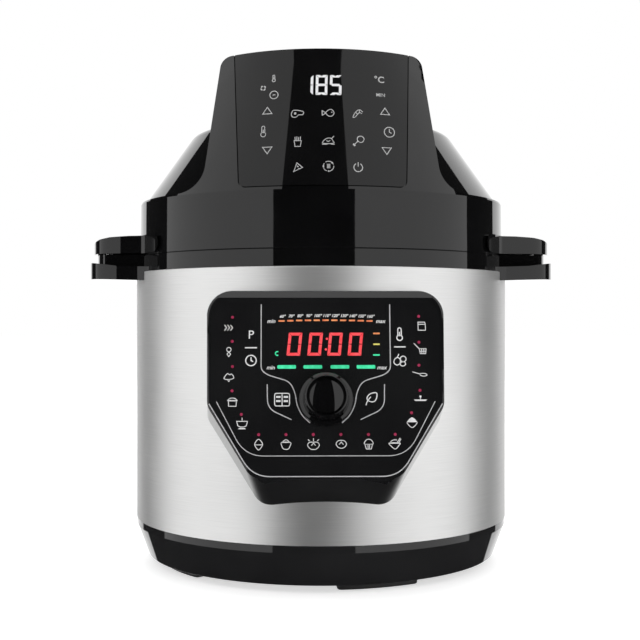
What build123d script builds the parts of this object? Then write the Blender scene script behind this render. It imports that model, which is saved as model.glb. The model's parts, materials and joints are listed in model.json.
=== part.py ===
from build123d import *
import os
from math import cos, radians, sin, sqrt

# A 6 litre electric pressure cooker with its air-fryer lid standing on the pot.
# Millimetres, +Z up, front towards -Y. The origin is on the cooker's axis, at the level it stands on.

# Range of heights over which curved walls are trimmed off the pieces that sit on them
TRIM_LOW = 30.0
TRIM_HIGH = 260.0

# Fits
SEAT = 0.1  # curved faces of pieces fixed to each other
CLEAR = 0.3  # curved faces of pieces that move apart
PRESS = 0.02  # a shaft in a bore that grips it
RUNNING = 0.05  # a shaft in a bore that it turns in

# Feet and base
FOOT_H = 5.0
FOOT_R_IN = 112.0
FOOT_R_OUT = 122.0
FOOT_HALF_ANGLE = 14.0
FOOT_AZIMUTHS = {"right": 30.0, "rear": 108.0, "left": 210.0, "front": 288.0}
FOOT_RECESS = 1.2
BASE_BOTTOM_R = 131.0
BASE_R = 139.5
BASE_BAND_Z = 28.0
BASE_WALL = 2.5
BASE_FLOOR = 3.0
BASE_FLOOR_TOP = FOOT_H + BASE_FLOOR
BASE_VENT_R = 75.0
BASE_VENT_COUNT = 12
BASE_VENT = (34.0, 4.0)

# Steel wrap
WRAP_R = 140.0
WRAP_T = 0.8
WRAP_BOTTOM = 33.0
WRAP_TOP = 214.3
WRAP_LIP_R = 137.7
SPIGOT_H = 8.0

# Collar and lid seam
COLLAR_R = 137.6
COLLAR_TOP = 226.2
COLLAR_WALL = 2.5
COLLAR_BOTTOM = 205.0
GUTTER_R = 127.5
GUTTER_FLOOR = 214.0

# Cooking well and inner pot
WELL_R = 114.5
WELL_T = 1.0
WELL_BOTTOM = 44.0
WELL_STEP = 215.0
WELL_RIM_R = 122.0
WELL_TOP = 225.0
WELL_BORE = 20.0
LUG_R = 118.3
LUG_COUNT = 8
POT_R = 111.0
POT_T = 1.2
POT_BOTTOM = 62.0
POT_CORNER = 12.0
POT_RIM_Z = 218.2
POT_RIM_R = 115.5
POT_BEAD = 1.6

# Heating plate and sensor
PLATE_R = 95.0
PLATE_TOP = POT_BOTTOM - 0.05
PLATE_BOTTOM = 56.0
HEATER_RING_R = 68.0
HEATER_TUBE = 3.5
HEATER_Z = 52.5
HEATER_GAP_ANGLE = 30.0
TERMINAL_BOTTOM = 38.0
POST_R = 86.0
POST_AZIMUTHS = (90.0, 210.0, 330.0)
SENSOR_R = 15.0
SENSOR_STEM = 5.0

# Condensate spout and cup
SPOUT_HALF = 6.0
SPOUT_BOTTOM = 203.0
SPOUT_TOP = 211.5
SPOUT_END = 150.0
DRIP_Y = 146.0
HOLDER_HALF = 34.0
HOLDER_BACK = 143.5
HOLDER_FRONT = 166.0
HOLDER_TOP = 202.5
HOLDER_WALL = 3.0
HOLDER_BOTTOM = 180.0
HOLDER_SLOT = (14.0, 9.0)
RAIL_BOTTOM = 190.0
RAIL_T = 2.0
CUP_HALF = 28.2
CUP_FRONT = 165.7
CUP_BACK = 144.0
CUP_BOTTOM = 140.0
CUP_RIM = 194.3
CUP_WALL = 1.8

# Control module on the wrap: the front face leans back, and its sides widen towards the wrap
FACE_LEAN = 12.0
FACE_TOP_Y = -146.8
FACE_TOP_Z = 197.8
FACE_TOP_HALF = 75.7
FACE_SIDE_HALF = 74.4
FACE_SIDE_V = -73.9
FACE_BOTTOM_HALF = 46.5
FACE_BOTTOM_V = -118.9
FACE_CORNERS = (12.0, 12.0, 16.0)  # radii from the lowest pair up
FACE_BEVEL = 1.1
BROW_H = 4.4  # sloped cut along the module's top front edge
BROW_DEPTH = 2.2
MODULE_BACK_Y = -110.0
MODULE_BACK = ((78.2, 199.3), (78.5, 112.3), (38.5, 43.0))
BACK_CORNERS = (18.0, 12.0, 16.0)
MODULE_WALL = 2.6
FASCIA_T = 3.0
FASCIA_INSET = 2.3
FASCIA_DROP = 2.8
BOARD_T = 1.6
BOARD_DEPTH = 14.0
KNOB_V = -70.2
BOARD_V = -58.0
BOARD_SIZE = (112.0, 84.0)
DISPLAY_SIZE = (66.0, 32.0)
ENCODER_SIDE = 12.4
BOARD_STUDS = ((-48.0, -22.0), (48.0, -22.0), (-48.0, -88.0), (48.0, -88.0))
DISPLAY_V = -35.0
WINDOW = ((60.0, 190.0), (60.0, 118.0), (34.0, 76.0))
WINDOW_CORNER = 8.0

# Knob and encoder, along the face's normal
KNOB_R = 16.9
KNOB_GRIP_R = 14.6
KNOB_TOP_R = 13.2
KNOB_CAP_R = 11.7
KNOB_FOOT = 2.0
KNOB_SKIRT = 3.2
KNOB_TOP = 19.5
KNOB_RECESS = 16.7
KNOB_CAP_TOP = 19.6
KNOB_DOME = 2.2
SHAFT_R = 3.0
SHAFT_LOW = -10.2
SHAFT_HIGH = 11.0

# Power parts in the base
POWER_BOARD_X = -55.0
POWER_BOARD_Z = 14.0
POWER_BOARD_HOLES = (46.0, 78.0)
POWER_BOARD_SIZE = (56.0, 88.0)
TRANSFORMER = (26.0, 30.0, 17.0)
TRANSFORMER_Y = 20.0
RELAY = (19.0, 15.5, 15.5)
RELAY_Y = -16.0
SWITCH = (20.0, 10.5, 8.5)
SWITCH_X = 50.0
SWITCH_Z = 34.0
INLET_HALF_W = 14.0
INLET_HALF_H = 10.5
INLET_WALL = 1.8
INLET_DEPTH = 17.0
INLET_BACK = 6.0
BASE_INLET_Y = 139.5
BASE_INLET_Z = 20.0

# Lid shell: an upright ring, and a visor that goes on up from it and leans back
RING_R = 137.6
RING_WALL = 3.0
RING_TOP = 265.8
CREASE_Z = 264.5
CREASE_R = 137.3
VISOR_TOP_Z = 364.2
VISOR_TOP_R = 101.0
VISOR_WALL = 2.7
VISOR_FOOT_HALF = 81.4
VISOR_TOP_HALF = 70.2
VISOR_SWEEP = 20.0
VISOR_CORNER = 8.0
VISOR_SWEEP_HALF = 112.0
VISOR_X = -1.3  # the visor and its touch panel sit a little left of the axis
PANEL_DEPTH = 1.2
PANEL_T = 1.1
PANEL_GROOVE = 0.65
PANEL_TOP_HALF = 60.4
PANEL_FOOT_HALF = 55.2
PANEL_FOOT_Z = 267.0
PANEL_CORNER = 4.5

# Lid dome and hood
DOME_R = 134.2
DOME_FOOT = 258.0
DOME_SPRING_Z = 265.2
DOME_TOP_Z = 318.4
DOME_TOP_R = 96.8
DOME_SHOULDER = 11.0
DOME_WALL = 2.5
DOME_VENT_R = 42.0
DOME_MOUTH_Y = -78.0
DOME_MOUTH_WIDTH = 112.0
HOOD_WALL = 2.5
HOOD_TOP = 363.0
HOOD_REAR_Y = 84.0
HOOD_HALF_FRONT = 64.0
HOOD_HALF_REAR = 48.0
HOOD_FRONT_Y = -135.0
HOOD_CREST_Y = -62.0
HOOD_SLOPE_END = (60.0, 340.0)
HOOD_REAR_Z = 316.0
HOOD_FOOT = 275.0
HOOD_SHOULDER_Y = -50.0
HOOD_VENT_Y = 50.0
HOOD_VENT_COUNT = 7
HOOD_VENT_PITCH = 9.0
HOOD_VENT = (34.0, 4.0)

# Lid underside
BASE_RING_LOW = 227.5
BASE_RING_HIGH = 230.5
BASE_RING_R = 134.3
LIP_R_OUT = GUTTER_R - CLEAR
LIP_R_IN = 125.4
LIP_BOTTOM = 219.0
SHIELD_R = 112.0
SHIELD_T = 0.8
SHIELD_TOP = 258.0
COIL_TUBE = 3.2
COIL_Z = 240.0
COIL_START_R = 62.0
COIL_STEP = 4.0
COIL_HALF_TURNS = 6
COIL_SUPPORT_IN = 60.5
COIL_SUPPORT_OUT = 92.0
GRILLE_Z = 232.0
GRILLE_WIRE = 1.2
GRILLE_RINGS = (10.0, 22.0, 44.0, 66.0, 88.0, 108.5)
GRILLE_SPOKES = 6

# Lid fittings
LID_SCREW_R = 130.0
LID_SCREW_AZIMUTHS = (45.0, 135.0, 225.0, 315.0)
LID_SCREW_Z = 237.0
LID_INLET_Y = 138.6
LID_INLET_Z = 247.0
LID_BOARD_Z = 314.0
LID_BOARD_Y = -100.02
LID_BOARD_SIZE = (88.0, 86.0)
LID_DISPLAY_V = 24.0
LID_DISPLAY = (40.0, 20.0, 9.0)
LID_POWER_X = 74.0
LID_POWER_Y = 34.0
LID_POWER_Z = SHIELD_TOP + 6.0
LID_POWER_SIZE = (34.0, 50.0)
LID_POWER_HOLES = (26.0, 42.0)

# Lid fan and motor
FAN_SHAFT_R = 2.5
FAN_SHAFT_LOW = 241.5
FAN_SHAFT_HIGH = 314.0
FAN_R = 58.0
FAN_LOW = 245.0
FAN_DISC = 252.5
MOTOR_R = 27.0
MOTOR_LOW = 268.0
MOTOR_HIGH = 297.0
COOLING_R = 36.0
COOLING_LOW = 302.0
COOLING_HIGH = 312.0

# Handles: plan outlines give distance out and half width, side views distance out and height
HANDLE_REACH = 60.0  # half length that the side views are drawn over
HANDLE_HEIGHT = 30.0  # height that the plans are drawn over
HANDLE_SCREW_Y = 28.0
HANDLE_SCREW_R = 1.9
HANDLE_SCREW_END = 150.0
SCREW_HEAD_R = 3.4
SCREW_HEAD_H = 2.0
SCREW_BORE = 2.0
BODY_SCREW_Z = 217.0
HANDLE_ROOT = ((118.0, 64.0), (126.3, 57.6))
HANDLE_PLAN = (
    (129.5, 53.4),
    (137.0, 52.9),
    (150.0, 51.0),
    (159.0, 46.6),
    (164.4, 39.0),
    (168.0, 27.0),
    (170.3, 0.0),
)
BODY_HANDLE_EXTRA = 4.0
BODY_HANDLE_LOW = 207.4
BODY_HANDLE = (
    (118.0, 207.6),
    (171.4, 209.2),
    (174.4, 210.9),
    (174.0, 213.6),
    (173.0, 217.6),
    (170.0, 221.2),
    (150.0, 218.6),
    (118.0, 217.4),
)
BODY_WEB = ((118.0, 216.0), (168.0, 216.0), (166.6, 222.5), (165.6, 226.8), (118.0, 226.8))
BODY_WEB_EXTRA = -1.5
BODY_WEB_HALF = 46.0
LID_HANDLE_EXTRA = 1.2
LID_HANDLE_LOW = 227.4
LID_HANDLE = (
    (112.0, 227.4),
    (170.4, 227.4),
    (171.5, 230.0),
    (169.6, 234.4),
    (165.9, 236.6),
    (161.8, 237.9),
    (154.0, 239.2),
    (140.0, 240.0),
    (112.0, 240.4),
)
PAD_T = 2.0
PAD_X = 115.8
PAD_CORNER = 5.0
NIB_X = 168.0
NIB_T = 2.2
NIB_W = 24.0
NIB_H = 2.4


def finish(piece, name):
    """Label a finished piece and write it to its own file."""
    piece.part.label = name
    export_step(piece.part, f"parts/{name}.step")


def band(r_in, r_out, z_low, z_high):
    """Corners of a rectangular section: radius by height."""
    return (r_in, z_low), (r_out, z_low), (r_out, z_high), (r_in, z_high)


def mirrored(points):
    """Closed symmetrical outline from the corners of its right half, top first."""
    return [*points, *((-x, y) for x, y in reversed(points))]


def section_plane(azimuth):
    """Upright plane through the axis, with its X running outward at this azimuth."""
    angle = radians(azimuth)
    return Plane(origin=(0, 0, 0), x_dir=(cos(angle), sin(angle), 0), z_dir=(sin(angle), -cos(angle), 0))


def face_plane(height=0.0):
    """Plane of the module's front face, moved outward by height. Its Y runs up the face."""
    lean = radians(FACE_LEAN)
    normal = Vector(0, -cos(lean), sin(lean))
    origin = Vector(0, FACE_TOP_Y, FACE_TOP_Z) + normal * height
    return Plane(origin=origin, x_dir=(1, 0, 0), z_dir=normal)


def solid_cylinder(radius, z_low, z_high):
    """Upright cylinder on the axis, for trimming other pieces."""
    with BuildPart() as cylinder:
        with BuildSketch(Plane.XY.offset(z_low)):
            Circle(radius)
        extrude(amount=z_high - z_low)
    return cylinder.part


# ---------------------------------------------------------------- housing


def make_base_shell():
    with BuildPart() as base_shell:
        with BuildSketch(Plane.XZ):
            Polygon(
                (0, FOOT_H),
                (BASE_BOTTOM_R, FOOT_H),
                (BASE_R, BASE_BAND_Z),
                (BASE_R, WRAP_BOTTOM),
                (WRAP_R - WRAP_T - SEAT, WRAP_BOTTOM),
                (WRAP_R - WRAP_T - SEAT, WRAP_BOTTOM + SPIGOT_H),
                (BASE_R - BASE_WALL, WRAP_BOTTOM + SPIGOT_H),
                (BASE_R - BASE_WALL, BASE_BAND_Z),
                (BASE_BOTTOM_R - BASE_WALL, BASE_FLOOR_TOP),
                (0, BASE_FLOOR_TOP),
            )
        revolve(axis=Axis.Z)
        fillet(base_shell.edges().group_by(Axis.Z)[0], radius=2.0)
        with BuildSketch(Plane.XY.offset(FOOT_H)):
            with PolarLocations(BASE_VENT_R, BASE_VENT_COUNT):
                SlotOverall(*BASE_VENT)
        extrude(amount=BASE_FLOOR, mode=Mode.SUBTRACT)
        for azimuth in FOOT_AZIMUTHS.values():
            start = azimuth - FOOT_HALF_ANGLE - 0.2
            with BuildSketch(section_plane(start)):
                Polygon(*band(FOOT_R_IN - SEAT, FOOT_R_OUT + SEAT, FOOT_H, FOOT_H + FOOT_RECESS))
            revolve(axis=Axis.Z, revolution_arc=2 * FOOT_HALF_ANGLE + 0.4, mode=Mode.SUBTRACT)
        with BuildSketch(Plane.XZ.offset(-BASE_R - 5)):
            with Locations((0, BASE_INLET_Z)):
                Rectangle(2 * (INLET_HALF_W + SEAT), 2 * (INLET_HALF_H + SEAT))
        extrude(amount=30, mode=Mode.SUBTRACT)
        with BuildSketch(Plane.XY.offset(BASE_FLOOR_TOP)):
            with Locations((POWER_BOARD_X, 0)):
                with GridLocations(*POWER_BOARD_HOLES, 2, 2):
                    Circle(3)
        extrude(amount=POWER_BOARD_Z - BASE_FLOOR_TOP)
        with BuildSketch(Plane.XY.offset(POWER_BOARD_Z)):
            with Locations((POWER_BOARD_X, 0)):
                with GridLocations(*POWER_BOARD_HOLES, 2, 2):
                    Circle(1.5)
        extrude(amount=BOARD_T + 0.8)
    finish(base_shell, "base_shell")


def make_feet():
    for place, azimuth in FOOT_AZIMUTHS.items():
        with BuildPart() as foot:
            with BuildSketch(section_plane(azimuth - FOOT_HALF_ANGLE)):
                Polygon(*band(FOOT_R_IN, FOOT_R_OUT, 0, FOOT_H + FOOT_RECESS))
            revolve(axis=Axis.Z, revolution_arc=2 * FOOT_HALF_ANGLE)
            fillet(foot.edges().filter_by(Axis.Z), radius=3.0)
            fillet(foot.edges().group_by(Axis.Z)[0], radius=1.5)
        finish(foot, f"foot_{place}")


def make_steel_wrap():
    with BuildPart() as steel_wrap:
        with BuildSketch(Plane.XZ):
            Polygon(
                (WRAP_R - WRAP_T, WRAP_BOTTOM),
                (WRAP_R, WRAP_BOTTOM),
                (WRAP_R, WRAP_TOP),
                (WRAP_LIP_R, WRAP_TOP),
                (WRAP_LIP_R, WRAP_TOP - WRAP_T),
                (WRAP_R - WRAP_T, WRAP_TOP - WRAP_T),
            )
        revolve(axis=Axis.Z)
        with BuildSketch(Plane.XZ) as window:
            Polygon(*mirrored(WINDOW))
            fillet(window.vertices(), radius=WINDOW_CORNER)
        extrude(amount=WRAP_R + 5, mode=Mode.SUBTRACT)
        with BuildSketch(Plane.XZ.offset(-WRAP_R - 5)):
            with Locations((0, (SPOUT_BOTTOM + SPOUT_TOP) / 2)):
                Rectangle(2 * (SPOUT_HALF + CLEAR), SPOUT_TOP - SPOUT_BOTTOM + 2 * CLEAR)
        extrude(amount=30, mode=Mode.SUBTRACT)
        top_edges = steel_wrap.edges().filter_by(GeomType.CIRCLE).group_by(Axis.Z)[-1]
        fillet(top_edges.sort_by(SortBy.RADIUS)[-1], radius=0.5)
    finish(steel_wrap, "steel_wrap")


def make_top_collar():
    floor_bottom = GUTTER_FLOOR - COLLAR_WALL
    shelf_r = WELL_R + CLEAR
    with BuildPart() as top_collar:
        with BuildSketch(Plane.XZ):
            Polygon(
                (COLLAR_R - COLLAR_WALL, COLLAR_BOTTOM),
                (WRAP_R - WRAP_T - SEAT, COLLAR_BOTTOM),
                (WRAP_R - WRAP_T - SEAT, WRAP_TOP - WRAP_T - SEAT),
                (COLLAR_R, WRAP_TOP - WRAP_T - SEAT),
                (COLLAR_R, COLLAR_TOP),
                (GUTTER_R, COLLAR_TOP),
                (GUTTER_R, GUTTER_FLOOR),
                (WELL_RIM_R - 0.5, GUTTER_FLOOR),
                (WELL_RIM_R - 0.5, WELL_STEP),
                (shelf_r, WELL_STEP),
                (shelf_r, floor_bottom),
                (GUTTER_R + COLLAR_WALL, floor_bottom),
                (GUTTER_R + COLLAR_WALL, COLLAR_TOP - COLLAR_WALL),
                (COLLAR_R - COLLAR_WALL, COLLAR_TOP - COLLAR_WALL),
            )
        revolve(axis=Axis.Z)
        chamfer(top_collar.edges().group_by(Axis.Z)[-1].sort_by(SortBy.RADIUS)[-1], length=0.4)
        with BuildSketch(Plane.XY.offset(SPOUT_BOTTOM)):
            with Locations((0, (WELL_RIM_R + SPOUT_END) / 2)):
                Rectangle(2 * SPOUT_HALF, SPOUT_END - WELL_RIM_R)
        extrude(amount=SPOUT_TOP - SPOUT_BOTTOM)
        bore = 2.0
        middle = (SPOUT_BOTTOM + SPOUT_TOP) / 2
        gutter_y = (WELL_RIM_R + GUTTER_R) / 2
        with BuildSketch(Plane.XY.offset(middle)):
            with Locations((0, gutter_y)):
                Circle(bore)
        extrude(amount=GUTTER_FLOOR - middle, mode=Mode.SUBTRACT)
        with BuildSketch(Plane.XZ.offset(-gutter_y)):
            with Locations((0, middle)):
                Circle(bore)
        extrude(amount=gutter_y - DRIP_Y, mode=Mode.SUBTRACT)
        with BuildSketch(Plane.XY.offset(SPOUT_BOTTOM)):
            with Locations((0, DRIP_Y)):
                Circle(bore)
        extrude(amount=middle - SPOUT_BOTTOM, mode=Mode.SUBTRACT)
        with BuildSketch(Plane.YZ):
            with Locations((-HANDLE_SCREW_Y, BODY_SCREW_Z), (HANDLE_SCREW_Y, BODY_SCREW_Z)):
                Circle(SCREW_BORE)
        extrude(amount=COLLAR_R + 5, both=True, mode=Mode.SUBTRACT)
    finish(top_collar, "top_collar")


def make_cooking_well():
    with BuildPart() as cooking_well:
        with BuildSketch(Plane.XZ) as section:
            Polygon(
                (WELL_BORE, WELL_BOTTOM),
                (WELL_R, WELL_BOTTOM),
                (WELL_R, WELL_STEP),
                (WELL_RIM_R, WELL_STEP),
                (WELL_RIM_R, WELL_TOP),
                (WELL_RIM_R - WELL_T, WELL_TOP),
                (WELL_RIM_R - WELL_T, WELL_STEP + WELL_T),
                (WELL_R - WELL_T, WELL_STEP + WELL_T),
                (WELL_R - WELL_T, WELL_BOTTOM + WELL_T),
                (WELL_BORE, WELL_BOTTOM + WELL_T),
            )
        revolve(axis=Axis.Z)
        for lug in range(LUG_COUNT):
            with BuildSketch(section_plane(lug * 360 / LUG_COUNT)):
                Polygon(*band(LUG_R, WELL_RIM_R - WELL_T / 2, WELL_TOP - 1.2, WELL_TOP))
            revolve(axis=Axis.Z, revolution_arc=20)
        with BuildSketch(Plane.XY.offset(WELL_BOTTOM)):
            for azimuth in POST_AZIMUTHS:
                with PolarLocations(POST_R, 1, start_angle=azimuth):
                    Circle(2.2)
            for turn in (-1, 1):
                with PolarLocations(HEATER_RING_R, 1, start_angle=180 + turn * HEATER_GAP_ANGLE / 2):
                    Circle(HEATER_TUBE + 1.5)
        extrude(amount=WELL_T, mode=Mode.SUBTRACT)
    finish(cooking_well, "cooking_well")


def heater_tube(radius):
    """Open ring of tube with two upright ends, which the plate is cast around."""
    half_gap = radians(HEATER_GAP_ANGLE / 2)
    ends = [(-HEATER_RING_R * cos(half_gap), turn * HEATER_RING_R * sin(half_gap)) for turn in (-1, 1)]
    with BuildPart() as tube:
        with BuildSketch(section_plane(180 + HEATER_GAP_ANGLE / 2)):
            with Locations((HEATER_RING_R, HEATER_Z)):
                Circle(radius)
        revolve(axis=Axis.Z, revolution_arc=360 - HEATER_GAP_ANGLE)
        with Locations([(x, y, HEATER_Z) for x, y in ends]):
            Sphere(radius)
        with BuildSketch(Plane.XY.offset(TERMINAL_BOTTOM)):
            with Locations(ends):
                Circle(radius)
        extrude(amount=HEATER_Z - TERMINAL_BOTTOM)
    return tube


def make_heating_plate():
    channel_low = HEATER_Z - HEATER_TUBE - 2.5
    with BuildPart() as heating_plate:
        with BuildSketch(Plane.XZ):
            Polygon(*band(WELL_BORE - 1, PLATE_R, PLATE_BOTTOM, PLATE_TOP))
            Polygon(*band(HEATER_RING_R - 8, HEATER_RING_R + 8, channel_low, PLATE_BOTTOM + 1))
        revolve(axis=Axis.Z)
        chamfer(heating_plate.edges().group_by(Axis.Z)[-1].sort_by(SortBy.RADIUS)[-1], length=1.0)
        add(heater_tube(HEATER_TUBE + PRESS).part, mode=Mode.SUBTRACT)
        for azimuth in POST_AZIMUTHS:
            with BuildSketch(Plane.XY.offset(WELL_BOTTOM + WELL_T)):
                with PolarLocations(POST_R, 1, start_angle=azimuth):
                    Circle(4.5)
            extrude(amount=PLATE_BOTTOM - WELL_BOTTOM - WELL_T + 1)
            with BuildSketch(Plane.XY.offset(WELL_BOTTOM + WELL_T)):
                with PolarLocations(POST_R, 1, start_angle=azimuth):
                    Circle(2.05)
            extrude(amount=10, mode=Mode.SUBTRACT)
    finish(heating_plate, "heating_plate")


def make_heater_element():
    finish(heater_tube(HEATER_TUBE), "heater_element")


def make_plate_screws():
    with BuildPart() as plate_screws:
        for azimuth in POST_AZIMUTHS:
            with BuildSketch(Plane.XY.offset(WELL_BOTTOM - 2.5)):
                with PolarLocations(POST_R, 1, start_angle=azimuth):
                    Circle(3.8)
            extrude(amount=2.5)
            with BuildSketch(Plane.XY.offset(WELL_BOTTOM)):
                with PolarLocations(POST_R, 1, start_angle=azimuth):
                    Circle(1.95)
            extrude(amount=10)
    finish(plate_screws, "plate_screws")


def make_sensor_bracket():
    with BuildPart() as sensor_bracket:
        with BuildSketch(Plane.XY.offset(WELL_BOTTOM - 1.2)):
            Circle(WELL_BORE + 8)
            Circle(SENSOR_STEM + CLEAR, mode=Mode.SUBTRACT)
        extrude(amount=1.2)
    finish(sensor_bracket, "sensor_bracket")


def make_temperature_sensor():
    cap_low = PLATE_TOP - 2.5
    with BuildPart() as temperature_sensor:
        with BuildSketch(Plane.XZ):
            Polygon(*band(0, SENSOR_R, cap_low, PLATE_TOP))
            Polygon(*band(0, SENSOR_STEM, 36, cap_low))
        revolve(axis=Axis.Z)
        fillet(temperature_sensor.edges().group_by(Axis.Z)[-1], radius=1.0)
    finish(temperature_sensor, "temperature_sensor")


def make_sensor_spring():
    wire = 0.6
    spring_r = 8.0
    low = WELL_BOTTOM + wire
    high = PLATE_TOP - 2.5 - wire
    with BuildPart() as sensor_spring:
        with BuildLine():
            coil = Helix(pitch=(high - low) / 5, height=high - low, radius=spring_r, center=(0, 0, low))
        with BuildSketch(Plane(origin=coil @ 0, z_dir=coil % 0)):
            Circle(wire)
        sweep(path=coil, is_frenet=True)
    finish(sensor_spring, "sensor_spring")


def handle_plan(side, extra):
    """Plan of a handle: a nearly straight front that curves round to the tip and back again."""
    corners = [(side * (x + extra), -y) for x, y in HANDLE_PLAN]
    far_corners = [(x, -y) for x, y in reversed(corners[:-1])]
    root = [(side * x, -y) for x, y in HANDLE_ROOT]
    far_root = [(x, -y) for x, y in root]
    with BuildSketch() as plan:
        with BuildLine():
            Spline(*corners, *far_corners)
            Polyline(far_corners[-1], *reversed(far_root), *root, corners[0])
        make_face()
    return plan.sketch


def handle_pad(side, radius, low, high):
    """Thin rounded pad that follows the wall at the root of a handle."""
    with BuildPart() as pad:
        add(solid_cylinder(radius + PAD_T, low, high))
        with BuildSketch(Plane.XZ) as outline:
            far = radius + 2 * PAD_T
            Polygon((side * PAD_X, low), (side * far, low), (side * far, high), (side * PAD_X, high))
            inner = outline.vertices().group_by(Axis.X)[0 if side > 0 else -1]
            fillet(inner, radius=PAD_CORNER)
        extrude(amount=radius, both=True, mode=Mode.INTERSECT)
    return pad.part


def handle_web(side):
    """Block on top of a body handle that fills the space below the lid's handle."""
    with BuildPart() as web:
        with BuildSketch(Plane.XY.offset(BODY_WEB[0][1])):
            add(handle_plan(side, BODY_WEB_EXTRA))
        extrude(amount=HANDLE_HEIGHT)
        with BuildSketch(Plane.XZ):
            Polygon(*((side * x, z) for x, z in BODY_WEB))
        extrude(amount=BODY_WEB_HALF, both=True, mode=Mode.INTERSECT)
    return web.part


def make_side_handles():
    for side, name in ((-1, "side_handle_left"), (1, "side_handle_right")):
        with BuildPart() as side_handle:
            with BuildSketch(Plane.XY.offset(BODY_HANDLE_LOW)):
                add(handle_plan(side, BODY_HANDLE_EXTRA))
            extrude(amount=HANDLE_HEIGHT)
            with BuildSketch(Plane.XZ) as front:
                Polygon(*((side * x, z) for x, z in BODY_HANDLE))
                fillet(front.vertices(), radius=1.2)
            extrude(amount=HANDLE_REACH, both=True, mode=Mode.INTERSECT)
            add(handle_web(side))
            add(solid_cylinder(WRAP_R + SEAT, TRIM_LOW, WRAP_TOP), mode=Mode.SUBTRACT)
            add(solid_cylinder(COLLAR_R + SEAT, WRAP_TOP, TRIM_HIGH), mode=Mode.SUBTRACT)
            with BuildSketch(Plane.YZ):
                with Locations((-HANDLE_SCREW_Y, BODY_SCREW_Z), (HANDLE_SCREW_Y, BODY_SCREW_Z)):
                    Circle(SCREW_BORE)
            extrude(amount=side * (HANDLE_SCREW_END + 2), mode=Mode.SUBTRACT)
        finish(side_handle, name)


def face_outline(inset=0.0, drop=0.0):
    """Rounded outline of the module's face in its own plane, with its top edge lowered by drop."""
    right_half = ((FACE_TOP_HALF, -drop), (FACE_SIDE_HALF, FACE_SIDE_V), (FACE_BOTTOM_HALF, FACE_BOTTOM_V))
    return module_outline(right_half, FACE_CORNERS, inset)


def module_outline(right_half, radii, inset):
    """Six-sided outline with its corners rounded in pairs from the lowest up, then moved inward."""
    with BuildSketch() as outline:
        Polygon(*mirrored(right_half))
        for (_, level), radius in zip(reversed(right_half), radii):
            pair = outline.vertices().filter_by_position(Axis.Y, level - SEAT, level + SEAT)
            fillet(pair, radius=radius)
        if inset:
            offset(amount=-inset)
    return outline.sketch


def module_block(inset, depth):
    """Solid from behind the wrap out to the face, less inset all round and depth at the front."""
    with BuildPart() as block:
        with BuildSketch(Plane.XZ.offset(-MODULE_BACK_Y)):
            add(module_outline(MODULE_BACK, BACK_CORNERS, inset))
        with BuildSketch(face_plane(-depth)):
            add(face_outline(inset))
        loft(ruled=True)
    return block


def make_module_housing():
    ledge = FASCIA_INSET + 3
    with BuildPart() as module_housing:
        add(module_block(0, 0).part)
        front = module_housing.faces().sort_by(Axis(face_plane().origin, face_plane().z_dir))[-1]
        chamfer(front.edges(), length=FACE_BEVEL)
        with BuildSketch(Plane(origin=face_plane().origin, x_dir=face_plane().z_dir, z_dir=(-1, 0, 0))):
            Polygon((BROW_DEPTH, -2 * BROW_H), (BROW_DEPTH, BROW_H), (-2 * BROW_DEPTH, BROW_H))
        extrude(amount=MODULE_BACK[0][0], both=True, mode=Mode.SUBTRACT)
        add(module_block(MODULE_WALL, FASCIA_T + 3).part, mode=Mode.SUBTRACT)
        with BuildSketch(face_plane()):
            add(face_outline(FASCIA_INSET, FASCIA_DROP))
        extrude(amount=-FASCIA_T - SEAT, mode=Mode.SUBTRACT)
        with BuildSketch(face_plane()):
            add(face_outline(ledge, FASCIA_DROP))
        extrude(amount=-FASCIA_T - 5, mode=Mode.SUBTRACT)
        add(solid_cylinder(WRAP_R + SEAT, TRIM_LOW, TRIM_HIGH), mode=Mode.SUBTRACT)
    finish(module_housing, "module_housing")


def make_module_fascia():
    stud = 2.5
    with BuildPart() as module_fascia:
        with BuildSketch(face_plane()):
            add(face_outline(FASCIA_INSET + SEAT, FASCIA_DROP))
            with Locations((0, KNOB_V)):
                Circle(SHAFT_R + 3, mode=Mode.SUBTRACT)
        extrude(amount=-FASCIA_T)
        with BuildSketch(face_plane(-FASCIA_T)):
            with Locations(*BOARD_STUDS):
                Circle(stud)
        extrude(amount=-(BOARD_DEPTH - BOARD_T - FASCIA_T))
    finish(module_fascia, "module_fascia")


def make_control_board():
    with BuildPart() as control_board:
        with BuildSketch(face_plane(-BOARD_DEPTH)):
            with Locations((0, BOARD_V)):
                Rectangle(*BOARD_SIZE)
            with Locations(*BOARD_STUDS):
                Circle(1.3, mode=Mode.SUBTRACT)
        extrude(amount=BOARD_T)
    finish(control_board, "control_board")


def make_display_block():
    with BuildPart() as display_block:
        with BuildSketch(face_plane(BOARD_T - BOARD_DEPTH)):
            with Locations((0, DISPLAY_V)):
                Rectangle(*DISPLAY_SIZE)
        extrude(amount=BOARD_DEPTH - BOARD_T - FASCIA_T - SEAT)
    finish(display_block, "display_block")


def knob_section():
    """Plane for sections turned about the knob's axis, and that axis."""
    plane = face_plane()
    foot = plane.from_local_coords((0, KNOB_V, 0))
    return Plane(origin=foot, x_dir=(1, 0, 0), z_dir=-plane.y_dir), Axis(foot, plane.z_dir)


def on_face_axis(points):
    """Solid of revolution about the knob's axis, from radius and height points."""
    section, axis = knob_section()
    with BuildPart() as turned:
        with BuildSketch(section):
            Polygon(*points)
        revolve(axis=axis)
    return turned.part


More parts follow.
